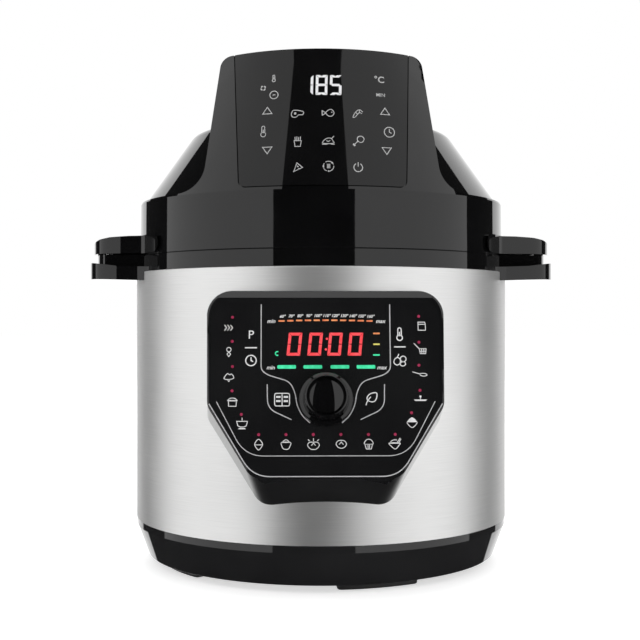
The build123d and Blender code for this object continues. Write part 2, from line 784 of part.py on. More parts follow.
def make_rotary_encoder():
    floor = BOARD_T - BOARD_DEPTH
    top = floor + 7
    with BuildPart() as rotary_encoder:
        with BuildSketch(face_plane(floor)):
            with Locations((0, KNOB_V)):
                Rectangle(ENCODER_SIDE, ENCODER_SIDE)
        extrude(amount=top - floor)
        with BuildSketch(face_plane(top)):
            with Locations((0, KNOB_V)):
                Circle(SHAFT_R + 1.5)
        extrude(amount=-top - 0.5)
        add(on_face_axis(band(0, 5, floor + 0.6, top - 1)), mode=Mode.SUBTRACT)
        add(on_face_axis(band(0, SHAFT_R + RUNNING, floor + 0.6, 1)), mode=Mode.SUBTRACT)
    finish(rotary_encoder, "rotary_encoder")


def make_encoder_rotor():
    with BuildPart() as encoder_rotor:
        add(on_face_axis(band(SHAFT_R + RUNNING, 4.7, -9.0, -7.2)))
    finish(encoder_rotor, "encoder_rotor")


def make_encoder_shaft():
    with BuildPart() as encoder_shaft:
        add(on_face_axis(band(0, SHAFT_R, SHAFT_LOW, SHAFT_HIGH)))
        chamfer(encoder_shaft.edges(), length=0.4)
    finish(encoder_shaft, "encoder_shaft")


def make_knob():
    axis = knob_section()[1]
    bore_top = SHAFT_HIGH + 0.3
    skirt, rim = 1, -1
    with BuildPart() as knob:
        outline = (
            (0, KNOB_FOOT),
            (KNOB_R, KNOB_FOOT),
            (KNOB_R, KNOB_FOOT + KNOB_SKIRT),
            (KNOB_GRIP_R, KNOB_FOOT + KNOB_SKIRT + 1.4),
            (KNOB_TOP_R, KNOB_TOP),
            (0, KNOB_TOP),
        )
        add(on_face_axis(outline))
        for place in (skirt, rim):
            circles = knob.edges().filter_by(GeomType.CIRCLE).sort_by(axis)
            fillet(circles[place], radius=1.4)
        add(on_face_axis(band(0, KNOB_CAP_R, KNOB_RECESS, KNOB_TOP + 1)), mode=Mode.SUBTRACT)
        add(on_face_axis(band(0, SHAFT_R + PRESS, 0, bore_top)), mode=Mode.SUBTRACT)
    finish(knob, "knob")


def make_knob_cap():
    section, axis = knob_section()
    edge = KNOB_CAP_R - SEAT
    shoulder = KNOB_CAP_TOP - KNOB_DOME
    with BuildPart() as knob_cap:
        with BuildSketch(section):
            with BuildLine():
                TangentArc((0, KNOB_CAP_TOP), (edge, shoulder), tangent=(1, 0))
                Polyline((edge, shoulder), (edge, KNOB_RECESS), (0, KNOB_RECESS), (0, KNOB_CAP_TOP))
            make_face()
        revolve(axis=axis)
    finish(knob_cap, "knob_cap")


def make_power_parts():
    board_top = POWER_BOARD_Z + BOARD_T
    with BuildPart() as power_board:
        with BuildSketch(Plane.XY.offset(POWER_BOARD_Z)):
            with Locations((POWER_BOARD_X, 0)):
                Rectangle(*POWER_BOARD_SIZE)
                with GridLocations(*POWER_BOARD_HOLES, 2, 2):
                    Circle(1.6, mode=Mode.SUBTRACT)
        extrude(amount=BOARD_T)
    finish(power_board, "power_board")
    with BuildPart() as power_transformer:
        with BuildSketch(Plane.XY.offset(board_top)):
            with Locations((POWER_BOARD_X, TRANSFORMER_Y)):
                Rectangle(*TRANSFORMER[:2])
        extrude(amount=TRANSFORMER[2])
        chamfer(power_transformer.edges().filter_by(Axis.Z), length=1.0)
    finish(power_transformer, "power_transformer")
    with BuildPart() as power_relay:
        with BuildSketch(Plane.XY.offset(board_top)):
            with Locations((POWER_BOARD_X, RELAY_Y)):
                Rectangle(*RELAY[:2])
        extrude(amount=RELAY[2])
        fillet(power_relay.edges().group_by(Axis.Z)[-1], radius=0.8)
    finish(power_relay, "power_relay")


def make_pressure_switch():
    top = SWITCH_Z + SWITCH[2]
    with BuildPart() as pressure_switch:
        with BuildSketch(Plane.XY.offset(SWITCH_Z)):
            with Locations((SWITCH_X, 0)):
                Rectangle(*SWITCH[:2])
        extrude(amount=SWITCH[2])
        with BuildSketch(Plane.XY.offset(top)):
            with Locations((SWITCH_X + 4, 0)):
                Circle(2)
        extrude(amount=WELL_BOTTOM - top)
    finish(pressure_switch, "pressure_switch")


def make_inlet(name, outer_y, centre_z, depth):
    """Three-pin appliance inlet facing the rear: a moulded body and its blades."""
    socket_half_w = INLET_HALF_W - INLET_WALL
    socket_half_h = INLET_HALF_H - INLET_WALL
    socket_end = outer_y - INLET_DEPTH
    blades = ((-7.0, -1.5), (7.0, -1.5), (0.0, 3.0))
    with BuildPart() as inlet:
        with BuildSketch(Plane.XZ.offset(-outer_y)):
            with Locations((0, centre_z)):
                RectangleRounded(2 * INLET_HALF_W, 2 * INLET_HALF_H, 2)
        extrude(amount=depth)
        with BuildSketch(Plane.XZ.offset(-outer_y)):
            with Locations((0, centre_z)):
                RectangleRounded(2 * socket_half_w, 2 * socket_half_h, 3)
        extrude(amount=INLET_DEPTH, mode=Mode.SUBTRACT)
        with BuildSketch(Plane.XZ.offset(-socket_end)):
            with Locations([(x, centre_z + z) for x, z in blades]):
                Rectangle(2 + 2 * PRESS, 4 + 2 * PRESS)
        extrude(amount=4, mode=Mode.SUBTRACT)
    finish(inlet, name)
    with BuildPart() as inlet_blades:
        with BuildSketch(Plane.XZ.offset(-socket_end + 4)):
            with Locations([(x, centre_z + z) for x, z in blades]):
                Rectangle(2, 4)
        extrude(amount=-INLET_DEPTH)
    finish(inlet_blades, name + "_blades")


def make_cup_holder():
    with BuildPart() as cup_holder:
        for low, high, half_in in (
            (HOLDER_TOP - HOLDER_WALL, HOLDER_TOP, 0),
            (RAIL_BOTTOM, HOLDER_TOP, HOLDER_HALF - 2.5),
            (RAIL_BOTTOM, RAIL_BOTTOM + RAIL_T, CUP_HALF + CLEAR),
        ):
            middle = (HOLDER_HALF + half_in) / 2
            spots = [(side * middle, (WRAP_R + HOLDER_FRONT) / 2 - 4) for side in (-1, 1)]
            with BuildSketch(Plane.XY.offset(low)):
                with Locations(spots):
                    Rectangle(HOLDER_HALF - half_in, HOLDER_FRONT - WRAP_R + 8)
            extrude(amount=high - low)
        with BuildSketch(Plane.XY.offset(HOLDER_BOTTOM)):
            with Locations((0, (WRAP_R + HOLDER_BACK) / 2 - 3)):
                Rectangle(2 * HOLDER_HALF, HOLDER_BACK - WRAP_R + 6)
        extrude(amount=HOLDER_TOP - HOLDER_BOTTOM)
        add(solid_cylinder(WRAP_R + SEAT, TRIM_LOW, TRIM_HIGH), mode=Mode.SUBTRACT)
        with BuildSketch(Plane.XY.offset(HOLDER_TOP)):
            with Locations((0, DRIP_Y + 2)):
                SlotOverall(*HOLDER_SLOT)
        extrude(amount=-HOLDER_WALL, mode=Mode.SUBTRACT)
        corners = cup_holder.edges().filter_by(Axis.Z).sort_by(Axis.Y)[-2:]
        fillet(corners, radius=2.0)
    finish(cup_holder, "cup_holder")


def make_condensate_cup():
    rim_half = HOLDER_HALF - 2.5 - CLEAR
    depth = CUP_FRONT - CUP_BACK
    middle = (CUP_FRONT + CUP_BACK) / 2
    with BuildPart() as condensate_cup:
        with BuildSketch(Plane.XY.offset(CUP_BOTTOM)):
            with Locations((0, middle)):
                RectangleRounded(2 * CUP_HALF, depth, 4)
        extrude(amount=CUP_RIM - CUP_BOTTOM)
        fillet(condensate_cup.edges().group_by(Axis.Z)[0], radius=2.5)
        with BuildSketch(Plane.XY.offset(RAIL_BOTTOM + RAIL_T + CLEAR)):
            with Locations((0, middle)):
                Rectangle(2 * rim_half, depth)
        extrude(amount=CUP_RIM - RAIL_BOTTOM - RAIL_T - CLEAR)
        with BuildSketch(Plane.XY.offset(CUP_BOTTOM + CUP_WALL)):
            with Locations((0, middle)):
                RectangleRounded(2 * (CUP_HALF - CUP_WALL), depth - 2 * CUP_WALL, 3)
        extrude(amount=CUP_RIM - CUP_BOTTOM, mode=Mode.SUBTRACT)
    finish(condensate_cup, "condensate_cup")


def make_handle_screws(name, r_wall, height):
    """Pan-head screws that reach a pair of handles from inside the wall they sit on."""
    seat_x = sqrt(r_wall**2 - (HANDLE_SCREW_Y + 3.5) ** 2) - 0.2
    with BuildPart() as screws:
        for side in (-1, 1):
            with BuildSketch(Plane.YZ.offset(side * (seat_x - SCREW_HEAD_H))):
                with Locations((-HANDLE_SCREW_Y, height), (HANDLE_SCREW_Y, height)):
                    Circle(SCREW_HEAD_R)
            extrude(amount=side * SCREW_HEAD_H)
            with BuildSketch(Plane.YZ.offset(side * seat_x)):
                with Locations((-HANDLE_SCREW_Y, height), (HANDLE_SCREW_Y, height)):
                    Circle(HANDLE_SCREW_R)
            extrude(amount=side * (HANDLE_SCREW_END - seat_x))
    finish(screws, name)


def make_inner_pot():
    outer_corner = POT_R - POT_CORNER
    with BuildPart() as inner_pot:
        with BuildSketch(Plane.XZ) as section:
            Polygon(*band(0, POT_R, POT_BOTTOM, POT_RIM_Z))
            corner = section.vertices().sort_by(Axis.Y)[:2].sort_by(Axis.X)[-1]
            fillet(corner, radius=POT_CORNER)
        revolve(axis=Axis.Z)
        with BuildSketch(Plane.XZ) as hollow:
            Polygon(*band(0, POT_R - POT_T, POT_BOTTOM + POT_T, POT_RIM_Z + 5))
            corner = hollow.vertices().sort_by(Axis.Y)[:2].sort_by(Axis.X)[-1]
            fillet(corner, radius=POT_CORNER - POT_T)
        revolve(axis=Axis.Z, mode=Mode.SUBTRACT)
        with BuildSketch(Plane.XZ):
            Polygon(*band(POT_R - POT_T, POT_RIM_R, POT_RIM_Z - 0.6, POT_RIM_Z + 0.6))
            with Locations((POT_RIM_R, POT_RIM_Z)):
                Circle(POT_BEAD)
        revolve(axis=Axis.Z)
    finish(inner_pot, "inner_pot")



# ---------------------------------------------------------------- lid

VISOR_SLOPE = (CREASE_R - VISOR_TOP_R) / (VISOR_TOP_Z - CREASE_Z)


def visor_radius(z, depth=0.0):
    """Outside radius of the leaning visor at a height, less a depth measured level."""
    return CREASE_R - VISOR_SLOPE * (z - CREASE_Z) - depth


def visor_band(outer_depth, inner_depth, z_low, z_high):
    """Section of a layer of the visor between two depths."""
    return (
        (visor_radius(z_low, inner_depth), z_low),
        (visor_radius(z_low, outer_depth), z_low),
        (visor_radius(z_high, outer_depth), z_high),
        (visor_radius(z_high, inner_depth), z_high),
    )


def panel_outline(grow):
    """Front outline of the touch panel, open at the visor's top edge."""
    top = VISOR_TOP_Z + 20
    spread = (PANEL_TOP_HALF - PANEL_FOOT_HALF) / (VISOR_TOP_Z - PANEL_FOOT_Z)
    top_half = PANEL_FOOT_HALF + spread * (top - PANEL_FOOT_Z) + grow
    foot_half = PANEL_FOOT_HALF + grow
    foot = PANEL_FOOT_Z - grow
    with BuildSketch() as outline:
        with Locations((VISOR_X, 0)):
            Polygon((-foot_half, foot), (foot_half, foot), (top_half, top), (-top_half, top))
        fillet(outline.vertices().sort_by(Axis.Y)[:2], radius=PANEL_CORNER + grow)
    return outline.sketch


def panel_layer(outer_depth, inner_depth, grow):
    """Layer of the visor's wall inside the touch panel's outline."""
    with BuildPart() as layer:
        with BuildSketch(Plane.XZ):
            Polygon(*visor_band(outer_depth, inner_depth, CREASE_Z, VISOR_TOP_Z + (5 if grow else 0)))
        revolve(axis=Axis.Z)
        with BuildSketch(Plane.XZ):
            add(panel_outline(grow))
        extrude(amount=RING_R + 10, mode=Mode.INTERSECT)
    return layer.part


def make_lid_shell():
    ring_in = RING_R - RING_WALL
    boss_low = BASE_RING_HIGH + SHIELD_T + 0.1
    with BuildPart() as lid_shell:
        with BuildSketch(Plane.XZ):
            Polygon(*visor_band(0, VISOR_WALL, CREASE_Z, VISOR_TOP_Z))
        revolve(axis=Axis.Z)
        with BuildSketch(Plane.XZ) as outline:
            with Locations((VISOR_X, 0)):
                Polygon(
                    *mirrored(
                        (
                            (VISOR_TOP_HALF, VISOR_TOP_Z),
                            (VISOR_FOOT_HALF, RING_TOP),
                            (VISOR_SWEEP_HALF, RING_TOP),
                            (VISOR_SWEEP_HALF, CREASE_Z),
                        )
                    )
                )
            fillet(outline.vertices().sort_by(Axis.Y)[-2:], radius=VISOR_CORNER)
            sweeps = [v for v in outline.vertices() if abs(abs(v.X - VISOR_X) - VISOR_FOOT_HALF) < 0.1]
            fillet(sweeps, radius=VISOR_SWEEP)
        extrude(amount=RING_R + 10, mode=Mode.INTERSECT)
        with BuildSketch(Plane.XZ):
            Polygon(
                (ring_in, COLLAR_TOP),
                (RING_R, COLLAR_TOP),
                (CREASE_R, CREASE_Z),
                (visor_radius(RING_TOP), RING_TOP),
                (ring_in, RING_TOP),
            )
        revolve(axis=Axis.Z)
        chamfer(lid_shell.edges().group_by(Axis.Z)[0].sort_by(SortBy.RADIUS)[-1], length=0.4)
        add(panel_layer(-5, PANEL_DEPTH, PANEL_GROOVE), mode=Mode.SUBTRACT)
        for azimuth in LID_SCREW_AZIMUTHS:
            with BuildSketch(Plane.XY.offset(boss_low)):
                with PolarLocations(LID_SCREW_R + 1, 1, start_angle=azimuth):
                    Rectangle(2 * (ring_in - LID_SCREW_R), 9)
                with PolarLocations(LID_SCREW_R, 1, start_angle=azimuth):
                    Circle(1.55, mode=Mode.SUBTRACT)
            extrude(amount=14)
        with BuildSketch(Plane.XZ.offset(-RING_R - 5)):
            with Locations((0, LID_INLET_Z)):
                Rectangle(2 * (INLET_HALF_W + SEAT), 2 * (INLET_HALF_H + SEAT))
        extrude(amount=20, mode=Mode.SUBTRACT)
        with BuildSketch(Plane.YZ):
            with Locations((-HANDLE_SCREW_Y, LID_SCREW_Z), (HANDLE_SCREW_Y, LID_SCREW_Z)):
                Circle(SCREW_BORE)
        extrude(amount=RING_R + 5, both=True, mode=Mode.SUBTRACT)
    finish(lid_shell, "lid_shell")


def make_touch_panel():
    with BuildPart() as touch_panel:
        add(panel_layer(0, PANEL_T, 0))
    finish(touch_panel, "touch_panel")


def dome_solid(inset):
    """Solid of the dome's outer shape, or of its hollow when inset by the wall."""
    with BuildPart() as dome:
        with BuildSketch(Plane.XZ) as section:
            Polygon(
                (0, DOME_FOOT - inset),
                (DOME_R - inset, DOME_FOOT - inset),
                (DOME_R - inset, DOME_SPRING_Z - inset / 3),
                (DOME_TOP_R - inset / 1.6, DOME_TOP_Z - inset),
                (0, DOME_TOP_Z + 1.0 - inset),
            )
            shoulder = section.vertices().sort_by(Axis.Y)[-2]
            fillet(shoulder, radius=DOME_SHOULDER - inset)
        revolve(axis=Axis.Z)
    return dome.part


def make_dome_cover():
    with BuildPart() as dome_cover:
        add(dome_solid(0))
        add(dome_solid(DOME_WALL), mode=Mode.SUBTRACT)
        with BuildSketch(Plane.XY.offset(DOME_TOP_Z - 10)):
            with PolarLocations(DOME_VENT_R / 2, 6):
                SlotOverall(DOME_VENT_R, 9)
        extrude(amount=20, mode=Mode.SUBTRACT)
        with BuildSketch(Plane.XZ.offset(-DOME_MOUTH_Y)):
            with Locations((0, (CREASE_Z + DOME_TOP_Z) / 2 + 5)):
                Rectangle(DOME_MOUTH_WIDTH, DOME_TOP_Z - CREASE_Z - 4)
        extrude(amount=60, mode=Mode.SUBTRACT)
    finish(dome_cover, "dome_cover")


def hood_block(inset):
    """Hood behind the visor: its side, plan and front outlines intersected."""
    with BuildPart() as block:
        with BuildSketch(Plane.YZ):
            with BuildLine():
                top = Line((HOOD_FRONT_Y, HOOD_TOP), (HOOD_CREST_Y, HOOD_TOP))
                TangentArc(top @ 1, HOOD_SLOPE_END, tangent=top % 1)
                Polyline(
                    HOOD_SLOPE_END,
                    (HOOD_REAR_Y, HOOD_REAR_Z),
                    (HOOD_REAR_Y, HOOD_FOOT),
                    (HOOD_FRONT_Y, HOOD_FOOT),
                    top @ 0,
                )
            make_face()
            if inset:
                offset(amount=-inset)
        extrude(amount=100, both=True)
        with BuildSketch(Plane.XY.offset(HOOD_FOOT)) as plan:
            Polygon(
                (-HOOD_HALF_FRONT - 2, HOOD_FRONT_Y + 3),
                (HOOD_HALF_FRONT + 2, HOOD_FRONT_Y + 3),
                (HOOD_HALF_FRONT, HOOD_SHOULDER_Y),
                (HOOD_HALF_REAR, HOOD_REAR_Y - 4),
                (-HOOD_HALF_REAR, HOOD_REAR_Y - 4),
                (-HOOD_HALF_FRONT, HOOD_SHOULDER_Y),
            )
            fillet(plan.vertices().sort_by(Axis.Y)[-2:], radius=26)
            if inset:
                offset(amount=-inset)
        extrude(amount=150, mode=Mode.INTERSECT)
        with BuildSketch(Plane.XZ.offset(-100)) as front:
            half = HOOD_HALF_FRONT + 1
            Polygon((-half, HOOD_FOOT - 5), (half, HOOD_FOOT - 5), (half - 3, HOOD_TOP), (3 - half, HOOD_TOP))
            fillet(front.vertices().sort_by(Axis.Y)[-2:], radius=14)
            if inset:
                offset(amount=-inset)
        extrude(amount=260, mode=Mode.INTERSECT)
    return block.part


def make_rear_hood():
    gap = VISOR_WALL + SEAT
    low, high = HOOD_FOOT - 20, HOOD_TOP + 40
    with BuildPart() as beyond_visor:
        with BuildSketch(Plane.XZ):
            Polygon(
                (visor_radius(low, gap), low),
                (2 * RING_R, low),
                (2 * RING_R, high),
                (visor_radius(high, gap), high),
            )
        revolve(axis=Axis.Z)
    with BuildPart() as rear_hood:
        add(hood_block(0))
        add(hood_block(HOOD_WALL), mode=Mode.SUBTRACT)
        with BuildSketch(Plane.XZ.offset(110)):
            with Locations((0, (HOOD_FOOT + HOOD_TOP) / 2 - 9)):
                Rectangle(2 * (HOOD_HALF_FRONT - HOOD_WALL) - 2, 100)
        extrude(amount=30, mode=Mode.SUBTRACT)
        with BuildSketch(Plane.XY.offset(HOOD_FOOT - 5)):
            with Locations((0, -5)):
                Rectangle(2 * (HOOD_HALF_REAR - 10), 2 * HOOD_REAR_Y - 40)
        extrude(amount=30, mode=Mode.SUBTRACT)
        add(beyond_visor.part, mode=Mode.SUBTRACT)
        add(dome_solid(-SEAT), mode=Mode.SUBTRACT)
        with BuildSketch(Plane.XY.offset(HOOD_REAR_Z + 10)):
            with Locations((0, HOOD_VENT_Y)):
                with GridLocations(HOOD_VENT_PITCH, 1, HOOD_VENT_COUNT, 1):
                    SlotOverall(*HOOD_VENT, rotation=90)
        extrude(amount=30, mode=Mode.SUBTRACT)
    finish(rear_hood, "rear_hood")


def make_lid_base_ring():
    with BuildPart() as lid_base_ring:
        with BuildSketch(Plane.XZ):
            Polygon(*band(SHIELD_R, BASE_RING_R, BASE_RING_LOW, BASE_RING_HIGH))
            Polygon(*band(LIP_R_IN, LIP_R_OUT, LIP_BOTTOM, BASE_RING_LOW + 1))
        revolve(axis=Axis.Z)
        for azimuth in LID_SCREW_AZIMUTHS:
            with BuildSketch(Plane.XY.offset(BASE_RING_LOW)):
                with PolarLocations(LID_SCREW_R, 1, start_angle=azimuth):
                    Circle(1.55)
            extrude(amount=BASE_RING_HIGH - BASE_RING_LOW, mode=Mode.SUBTRACT)
            with BuildSketch(Plane.XY.offset(BASE_RING_LOW)):
                with PolarLocations(LID_SCREW_R, 1, start_angle=azimuth):
                    Circle(2.4)
            extrude(amount=1.4, mode=Mode.SUBTRACT)
    finish(lid_base_ring, "lid_base_ring")


def make_lid_screws():
    with BuildPart() as lid_screws:
        for azimuth in LID_SCREW_AZIMUTHS:
            with BuildSketch(Plane.XY.offset(BASE_RING_LOW + 0.1)):
                with PolarLocations(LID_SCREW_R, 1, start_angle=azimuth):
                    Circle(2.3)
            extrude(amount=1.3)
            with BuildSketch(Plane.XY.offset(BASE_RING_LOW + 1.4)):
                with PolarLocations(LID_SCREW_R, 1, start_angle=azimuth):
                    Circle(1.5)
            extrude(amount=13)
    finish(lid_screws, "lid_screws")


def make_lid_seal():
    with BuildPart() as lid_seal:
        with BuildSketch(Plane.XZ):
            Polygon(*band(LUG_R, LIP_R_IN - SEAT, WELL_TOP + CLEAR, BASE_RING_LOW))
        revolve(axis=Axis.Z)
        fillet(lid_seal.edges().group_by(Axis.Z)[0], radius=0.6)
    finish(lid_seal, "lid_seal")


def make_heat_shield():
    inner = SHIELD_R - SHIELD_T
    coil_ends = coil_end_points()
    with BuildPart() as heat_shield:
        with BuildSketch(Plane.XZ):
            Polygon(
                (inner, BASE_RING_HIGH),
                (LIP_R_IN, BASE_RING_HIGH),
                (LIP_R_IN, BASE_RING_HIGH + SHIELD_T),
                (SHIELD_R, BASE_RING_HIGH + SHIELD_T),
                (SHIELD_R, SHIELD_TOP),
                (2 * FAN_SHAFT_R, SHIELD_TOP),
                (2 * FAN_SHAFT_R, SHIELD_TOP - SHIELD_T),
                (inner, SHIELD_TOP - SHIELD_T),
            )
        revolve(axis=Axis.Z)
        with BuildSketch(Plane.XY.offset(SHIELD_TOP)):
            with Locations(coil_ends):
                Circle(COIL_TUBE + 1)
        extrude(amount=-SHIELD_T, mode=Mode.SUBTRACT)
    finish(heat_shield, "heat_shield")


def coil_radii():
    """Radius of each half turn of the heating coil, from the inside out."""
    return [COIL_START_R + COIL_STEP * half for half in range(COIL_HALF_TURNS)]


def coil_nodes():
    """Ends of the half turns: they lie on the X axis, on alternate sides."""
    nodes = [COIL_START_R]
    for half, radius in enumerate(coil_radii()):
        step = -2 * radius if half % 2 == 0 else 2 * radius
        nodes.append(nodes[-1] + step)
    return nodes


def coil_end_points():
    nodes = coil_nodes()
    return [(nodes[0], 0), (nodes[-1], 0)]


def make_heating_coil():
    with BuildPart() as heating_coil:
        nodes = coil_nodes()
        with BuildLine() as spiral:
            for half, radius in enumerate(coil_radii()):
                middle = (nodes[half] + nodes[half + 1]) / 2
                bulge = radius if half % 2 == 0 else -radius
                ThreePointArc((nodes[half], 0, COIL_Z), (middle, bulge, COIL_Z), (nodes[half + 1], 0, COIL_Z))
        with BuildSketch(Plane(origin=(nodes[0], 0, COIL_Z), x_dir=(1, 0, 0), z_dir=(0, 1, 0))):
            Circle(COIL_TUBE)
        sweep()
        with Locations([(x, y, COIL_Z) for x, y in coil_end_points()]):
            Sphere(COIL_TUBE)
        with BuildSketch(Plane.XY.offset(COIL_Z)):
            with Locations(coil_end_points()):
                Circle(COIL_TUBE)
        extrude(amount=MOTOR_LOW - COIL_Z)
    finish(heating_coil, "heating_coil")


def make_coil_supports():
    low = COIL_Z + COIL_TUBE + 0.2
    with BuildPart() as coil_supports:
        with BuildSketch(Plane.XY.offset(low)):
            with PolarLocations((COIL_SUPPORT_IN + COIL_SUPPORT_OUT) / 2, 3, start_angle=30):
                Rectangle(COIL_SUPPORT_OUT - COIL_SUPPORT_IN, 1.2)
        extrude(amount=SHIELD_TOP - SHIELD_T - low)
    finish(coil_supports, "coil_supports")


def make_protective_grille():
    reach = SHIELD_R - SHIELD_T - SEAT
    with BuildPart() as protective_grille:
        for radius in GRILLE_RINGS:
            with BuildSketch(Plane.XZ):
                with Locations((radius, GRILLE_Z)):
                    Circle(GRILLE_WIRE)
            revolve(axis=Axis.Z)
        for spoke in range(GRILLE_SPOKES):
            outward = section_plane(spoke * 360 / GRILLE_SPOKES + 15).x_dir
            with BuildSketch(Plane(origin=(0, 0, GRILLE_Z - 1.4), z_dir=outward).offset(GRILLE_RINGS[0] - 1)):
                Circle(GRILLE_WIRE)
            extrude(amount=reach - GRILLE_RINGS[0] + 1)
    finish(protective_grille, "protective_grille")


def make_motor_parts():
    with BuildPart() as motor_bracket:
        with BuildSketch(Plane.XY.offset(MOTOR_LOW - 1.2)):
            Circle(MOTOR_R + 10)
            Circle(8.3, mode=Mode.SUBTRACT)
        extrude(amount=1.2)
        with BuildSketch(Plane.XY.offset(SHIELD_TOP)):
            with PolarLocations(MOTOR_R + 6, 3, start_angle=90):
                Circle(3)
        extrude(amount=MOTOR_LOW - SHIELD_TOP - 1.2)
    finish(motor_bracket, "motor_bracket")
    with BuildPart() as fan_motor:
        with BuildSketch(Plane.XZ):
            Polygon(*band(FAN_SHAFT_R + RUNNING, MOTOR_R, MOTOR_LOW, MOTOR_HIGH))
            Polygon(*band(FAN_SHAFT_R + RUNNING, 8, MOTOR_LOW - 2, MOTOR_HIGH + 2))
        revolve(axis=Axis.Z)
        rims = fan_motor.edges().filter_by(GeomType.CIRCLE).filter_by(lambda edge: edge.radius > MOTOR_R - 1)
        fillet(rims, radius=2.0)
    finish(fan_motor, "fan_motor")
    with BuildPart() as motor_shaft:
        with BuildSketch(Plane.XY.offset(FAN_SHAFT_LOW)):
            Circle(FAN_SHAFT_R)
        extrude(amount=FAN_SHAFT_HIGH - FAN_SHAFT_LOW)
        chamfer(motor_shaft.edges(), length=0.4)
    finish(motor_shaft, "motor_shaft")


def make_fan(name, radius, disc_low, disc_high, blade_low, blade_high, blades):
    """Radial fan on the motor shaft: a disc, a hub and slanted blades on one side."""
    hub_r = 7.0
    reach = radius - hub_r - 14
    with BuildPart() as fan:
        with BuildSketch(Plane.XY.offset(disc_low)):
            Circle(radius)
        extrude(amount=disc_high - disc_low)
        with BuildSketch(Plane.XY.offset(min(blade_low, disc_low) + 1)):
            Circle(hub_r)
        extrude(amount=max(blade_high, disc_high) - min(blade_low, disc_low) - 1)
        with BuildSketch(Plane.XY.offset(blade_low)):
            with PolarLocations(radius - 3 - reach / 2, blades):
                Rectangle(reach, 1.0, rotation=22)
        extrude(amount=blade_high - blade_low)
        with BuildSketch(Plane.XY.offset(blade_low)):
            Circle(FAN_SHAFT_R + PRESS)
        extrude(amount=blade_high - blade_low, mode=Mode.SUBTRACT)
    finish(fan, name)


def make_fan_nut():
    with BuildPart() as fan_nut:
        with BuildSketch(Plane.XY.offset(FAN_LOW - 3)):
            RegularPolygon(radius=4.6, side_count=6)
            Circle(FAN_SHAFT_R + PRESS, mode=Mode.SUBTRACT)
        extrude(amount=4)
    finish(fan_nut, "fan_nut")


def lid_board_plane():
    """Front face of the lid's circuit board, parallel to the visor."""
    slope = sqrt(1 + VISOR_SLOPE**2)
    normal = Vector(0, -1 / slope, VISOR_SLOPE / slope)
    return Plane(origin=(0, LID_BOARD_Y, LID_BOARD_Z), x_dir=(1, 0, 0), z_dir=normal)


def make_lid_boards():
    with BuildPart() as touch_board:
        with BuildSketch(lid_board_plane()):
            Rectangle(*LID_BOARD_SIZE)
        extrude(amount=-BOARD_T)
    finish(touch_board, "touch_board")
    with BuildPart() as lid_display:
        with BuildSketch(lid_board_plane()):
            with Locations((0, LID_DISPLAY_V)):
                Rectangle(*LID_DISPLAY[:2])
        extrude(amount=LID_DISPLAY[2])
    finish(lid_display, "lid_display")
    with BuildPart() as lid_power_board:
        with BuildSketch(Plane.XY.offset(LID_POWER_Z)):
            with Locations((LID_POWER_X, LID_POWER_Y)):
                Rectangle(*LID_POWER_SIZE)
        extrude(amount=BOARD_T)
        with BuildSketch(Plane.XY.offset(SHIELD_TOP)):
            with Locations((LID_POWER_X, LID_POWER_Y)):
                with GridLocations(*LID_POWER_HOLES, 2, 2):
                    Circle(2.5)
        extrude(amount=LID_POWER_Z - SHIELD_TOP)
        with BuildSketch(Plane.XY.offset(LID_POWER_Z + BOARD_T)):
            with Locations((LID_POWER_X, LID_POWER_Y + 8)):
                Rectangle(20, 24)
            with Locations((LID_POWER_X, LID_POWER_Y - 16)):
                Circle(6)
        extrude(amount=14)
    finish(lid_power_board, "lid_power_board")


def make_lid_handles():
    low = LID_HANDLE_LOW
    for side, name in ((-1, "lid_handle_left"), (1, "lid_handle_right")):
        with BuildPart() as lid_handle:
            with BuildSketch(Plane.XY.offset(low)):
                add(handle_plan(side, LID_HANDLE_EXTRA))
            extrude(amount=HANDLE_HEIGHT)
            with BuildSketch(Plane.XZ) as front:
                Polygon(*((side * x, z) for x, z in LID_HANDLE))
                fillet(front.vertices(), radius=1.0)
            extrude(amount=HANDLE_REACH, both=True, mode=Mode.INTERSECT)
            add(handle_pad(side, RING_R, low, LID_HANDLE[-1][1]))
            with BuildSketch(Plane.XY.offset(low - NIB_H)):
                with Locations((side * NIB_X, 0)):
                    Rectangle(NIB_T, NIB_W)
            extrude(amount=NIB_H + 1)
            add(solid_cylinder(RING_R + SEAT, TRIM_LOW, TRIM_HIGH), mode=Mode.SUBTRACT)
            with BuildSketch(Plane.YZ):
                with Locations((-HANDLE_SCREW_Y, LID_SCREW_Z), (HANDLE_SCREW_Y, LID_SCREW_Z)):
                    Circle(SCREW_BORE)
            extrude(amount=side * (HANDLE_SCREW_END + 2), mode=Mode.SUBTRACT)
        finish(lid_handle, name)


os.makedirs("parts", exist_ok=True)

make_base_shell()
make_feet()
make_steel_wrap()
make_top_collar()
make_cooking_well()
make_heating_plate()
make_heater_element()
make_plate_screws()
make_sensor_bracket()
make_temperature_sensor()
make_sensor_spring()
make_side_handles()
make_handle_screws("handle_screws", COLLAR_R - COLLAR_WALL, BODY_SCREW_Z)
make_module_housing()
make_module_fascia()
make_control_board()
make_display_block()
make_rotary_encoder()
make_encoder_rotor()
make_encoder_shaft()
make_knob()
make_knob_cap()
make_power_parts()
make_pressure_switch()
make_inlet("power_inlet", BASE_INLET_Y, BASE_INLET_Z, INLET_DEPTH + INLET_BACK)
make_cup_holder()
make_condensate_cup()
make_inner_pot()

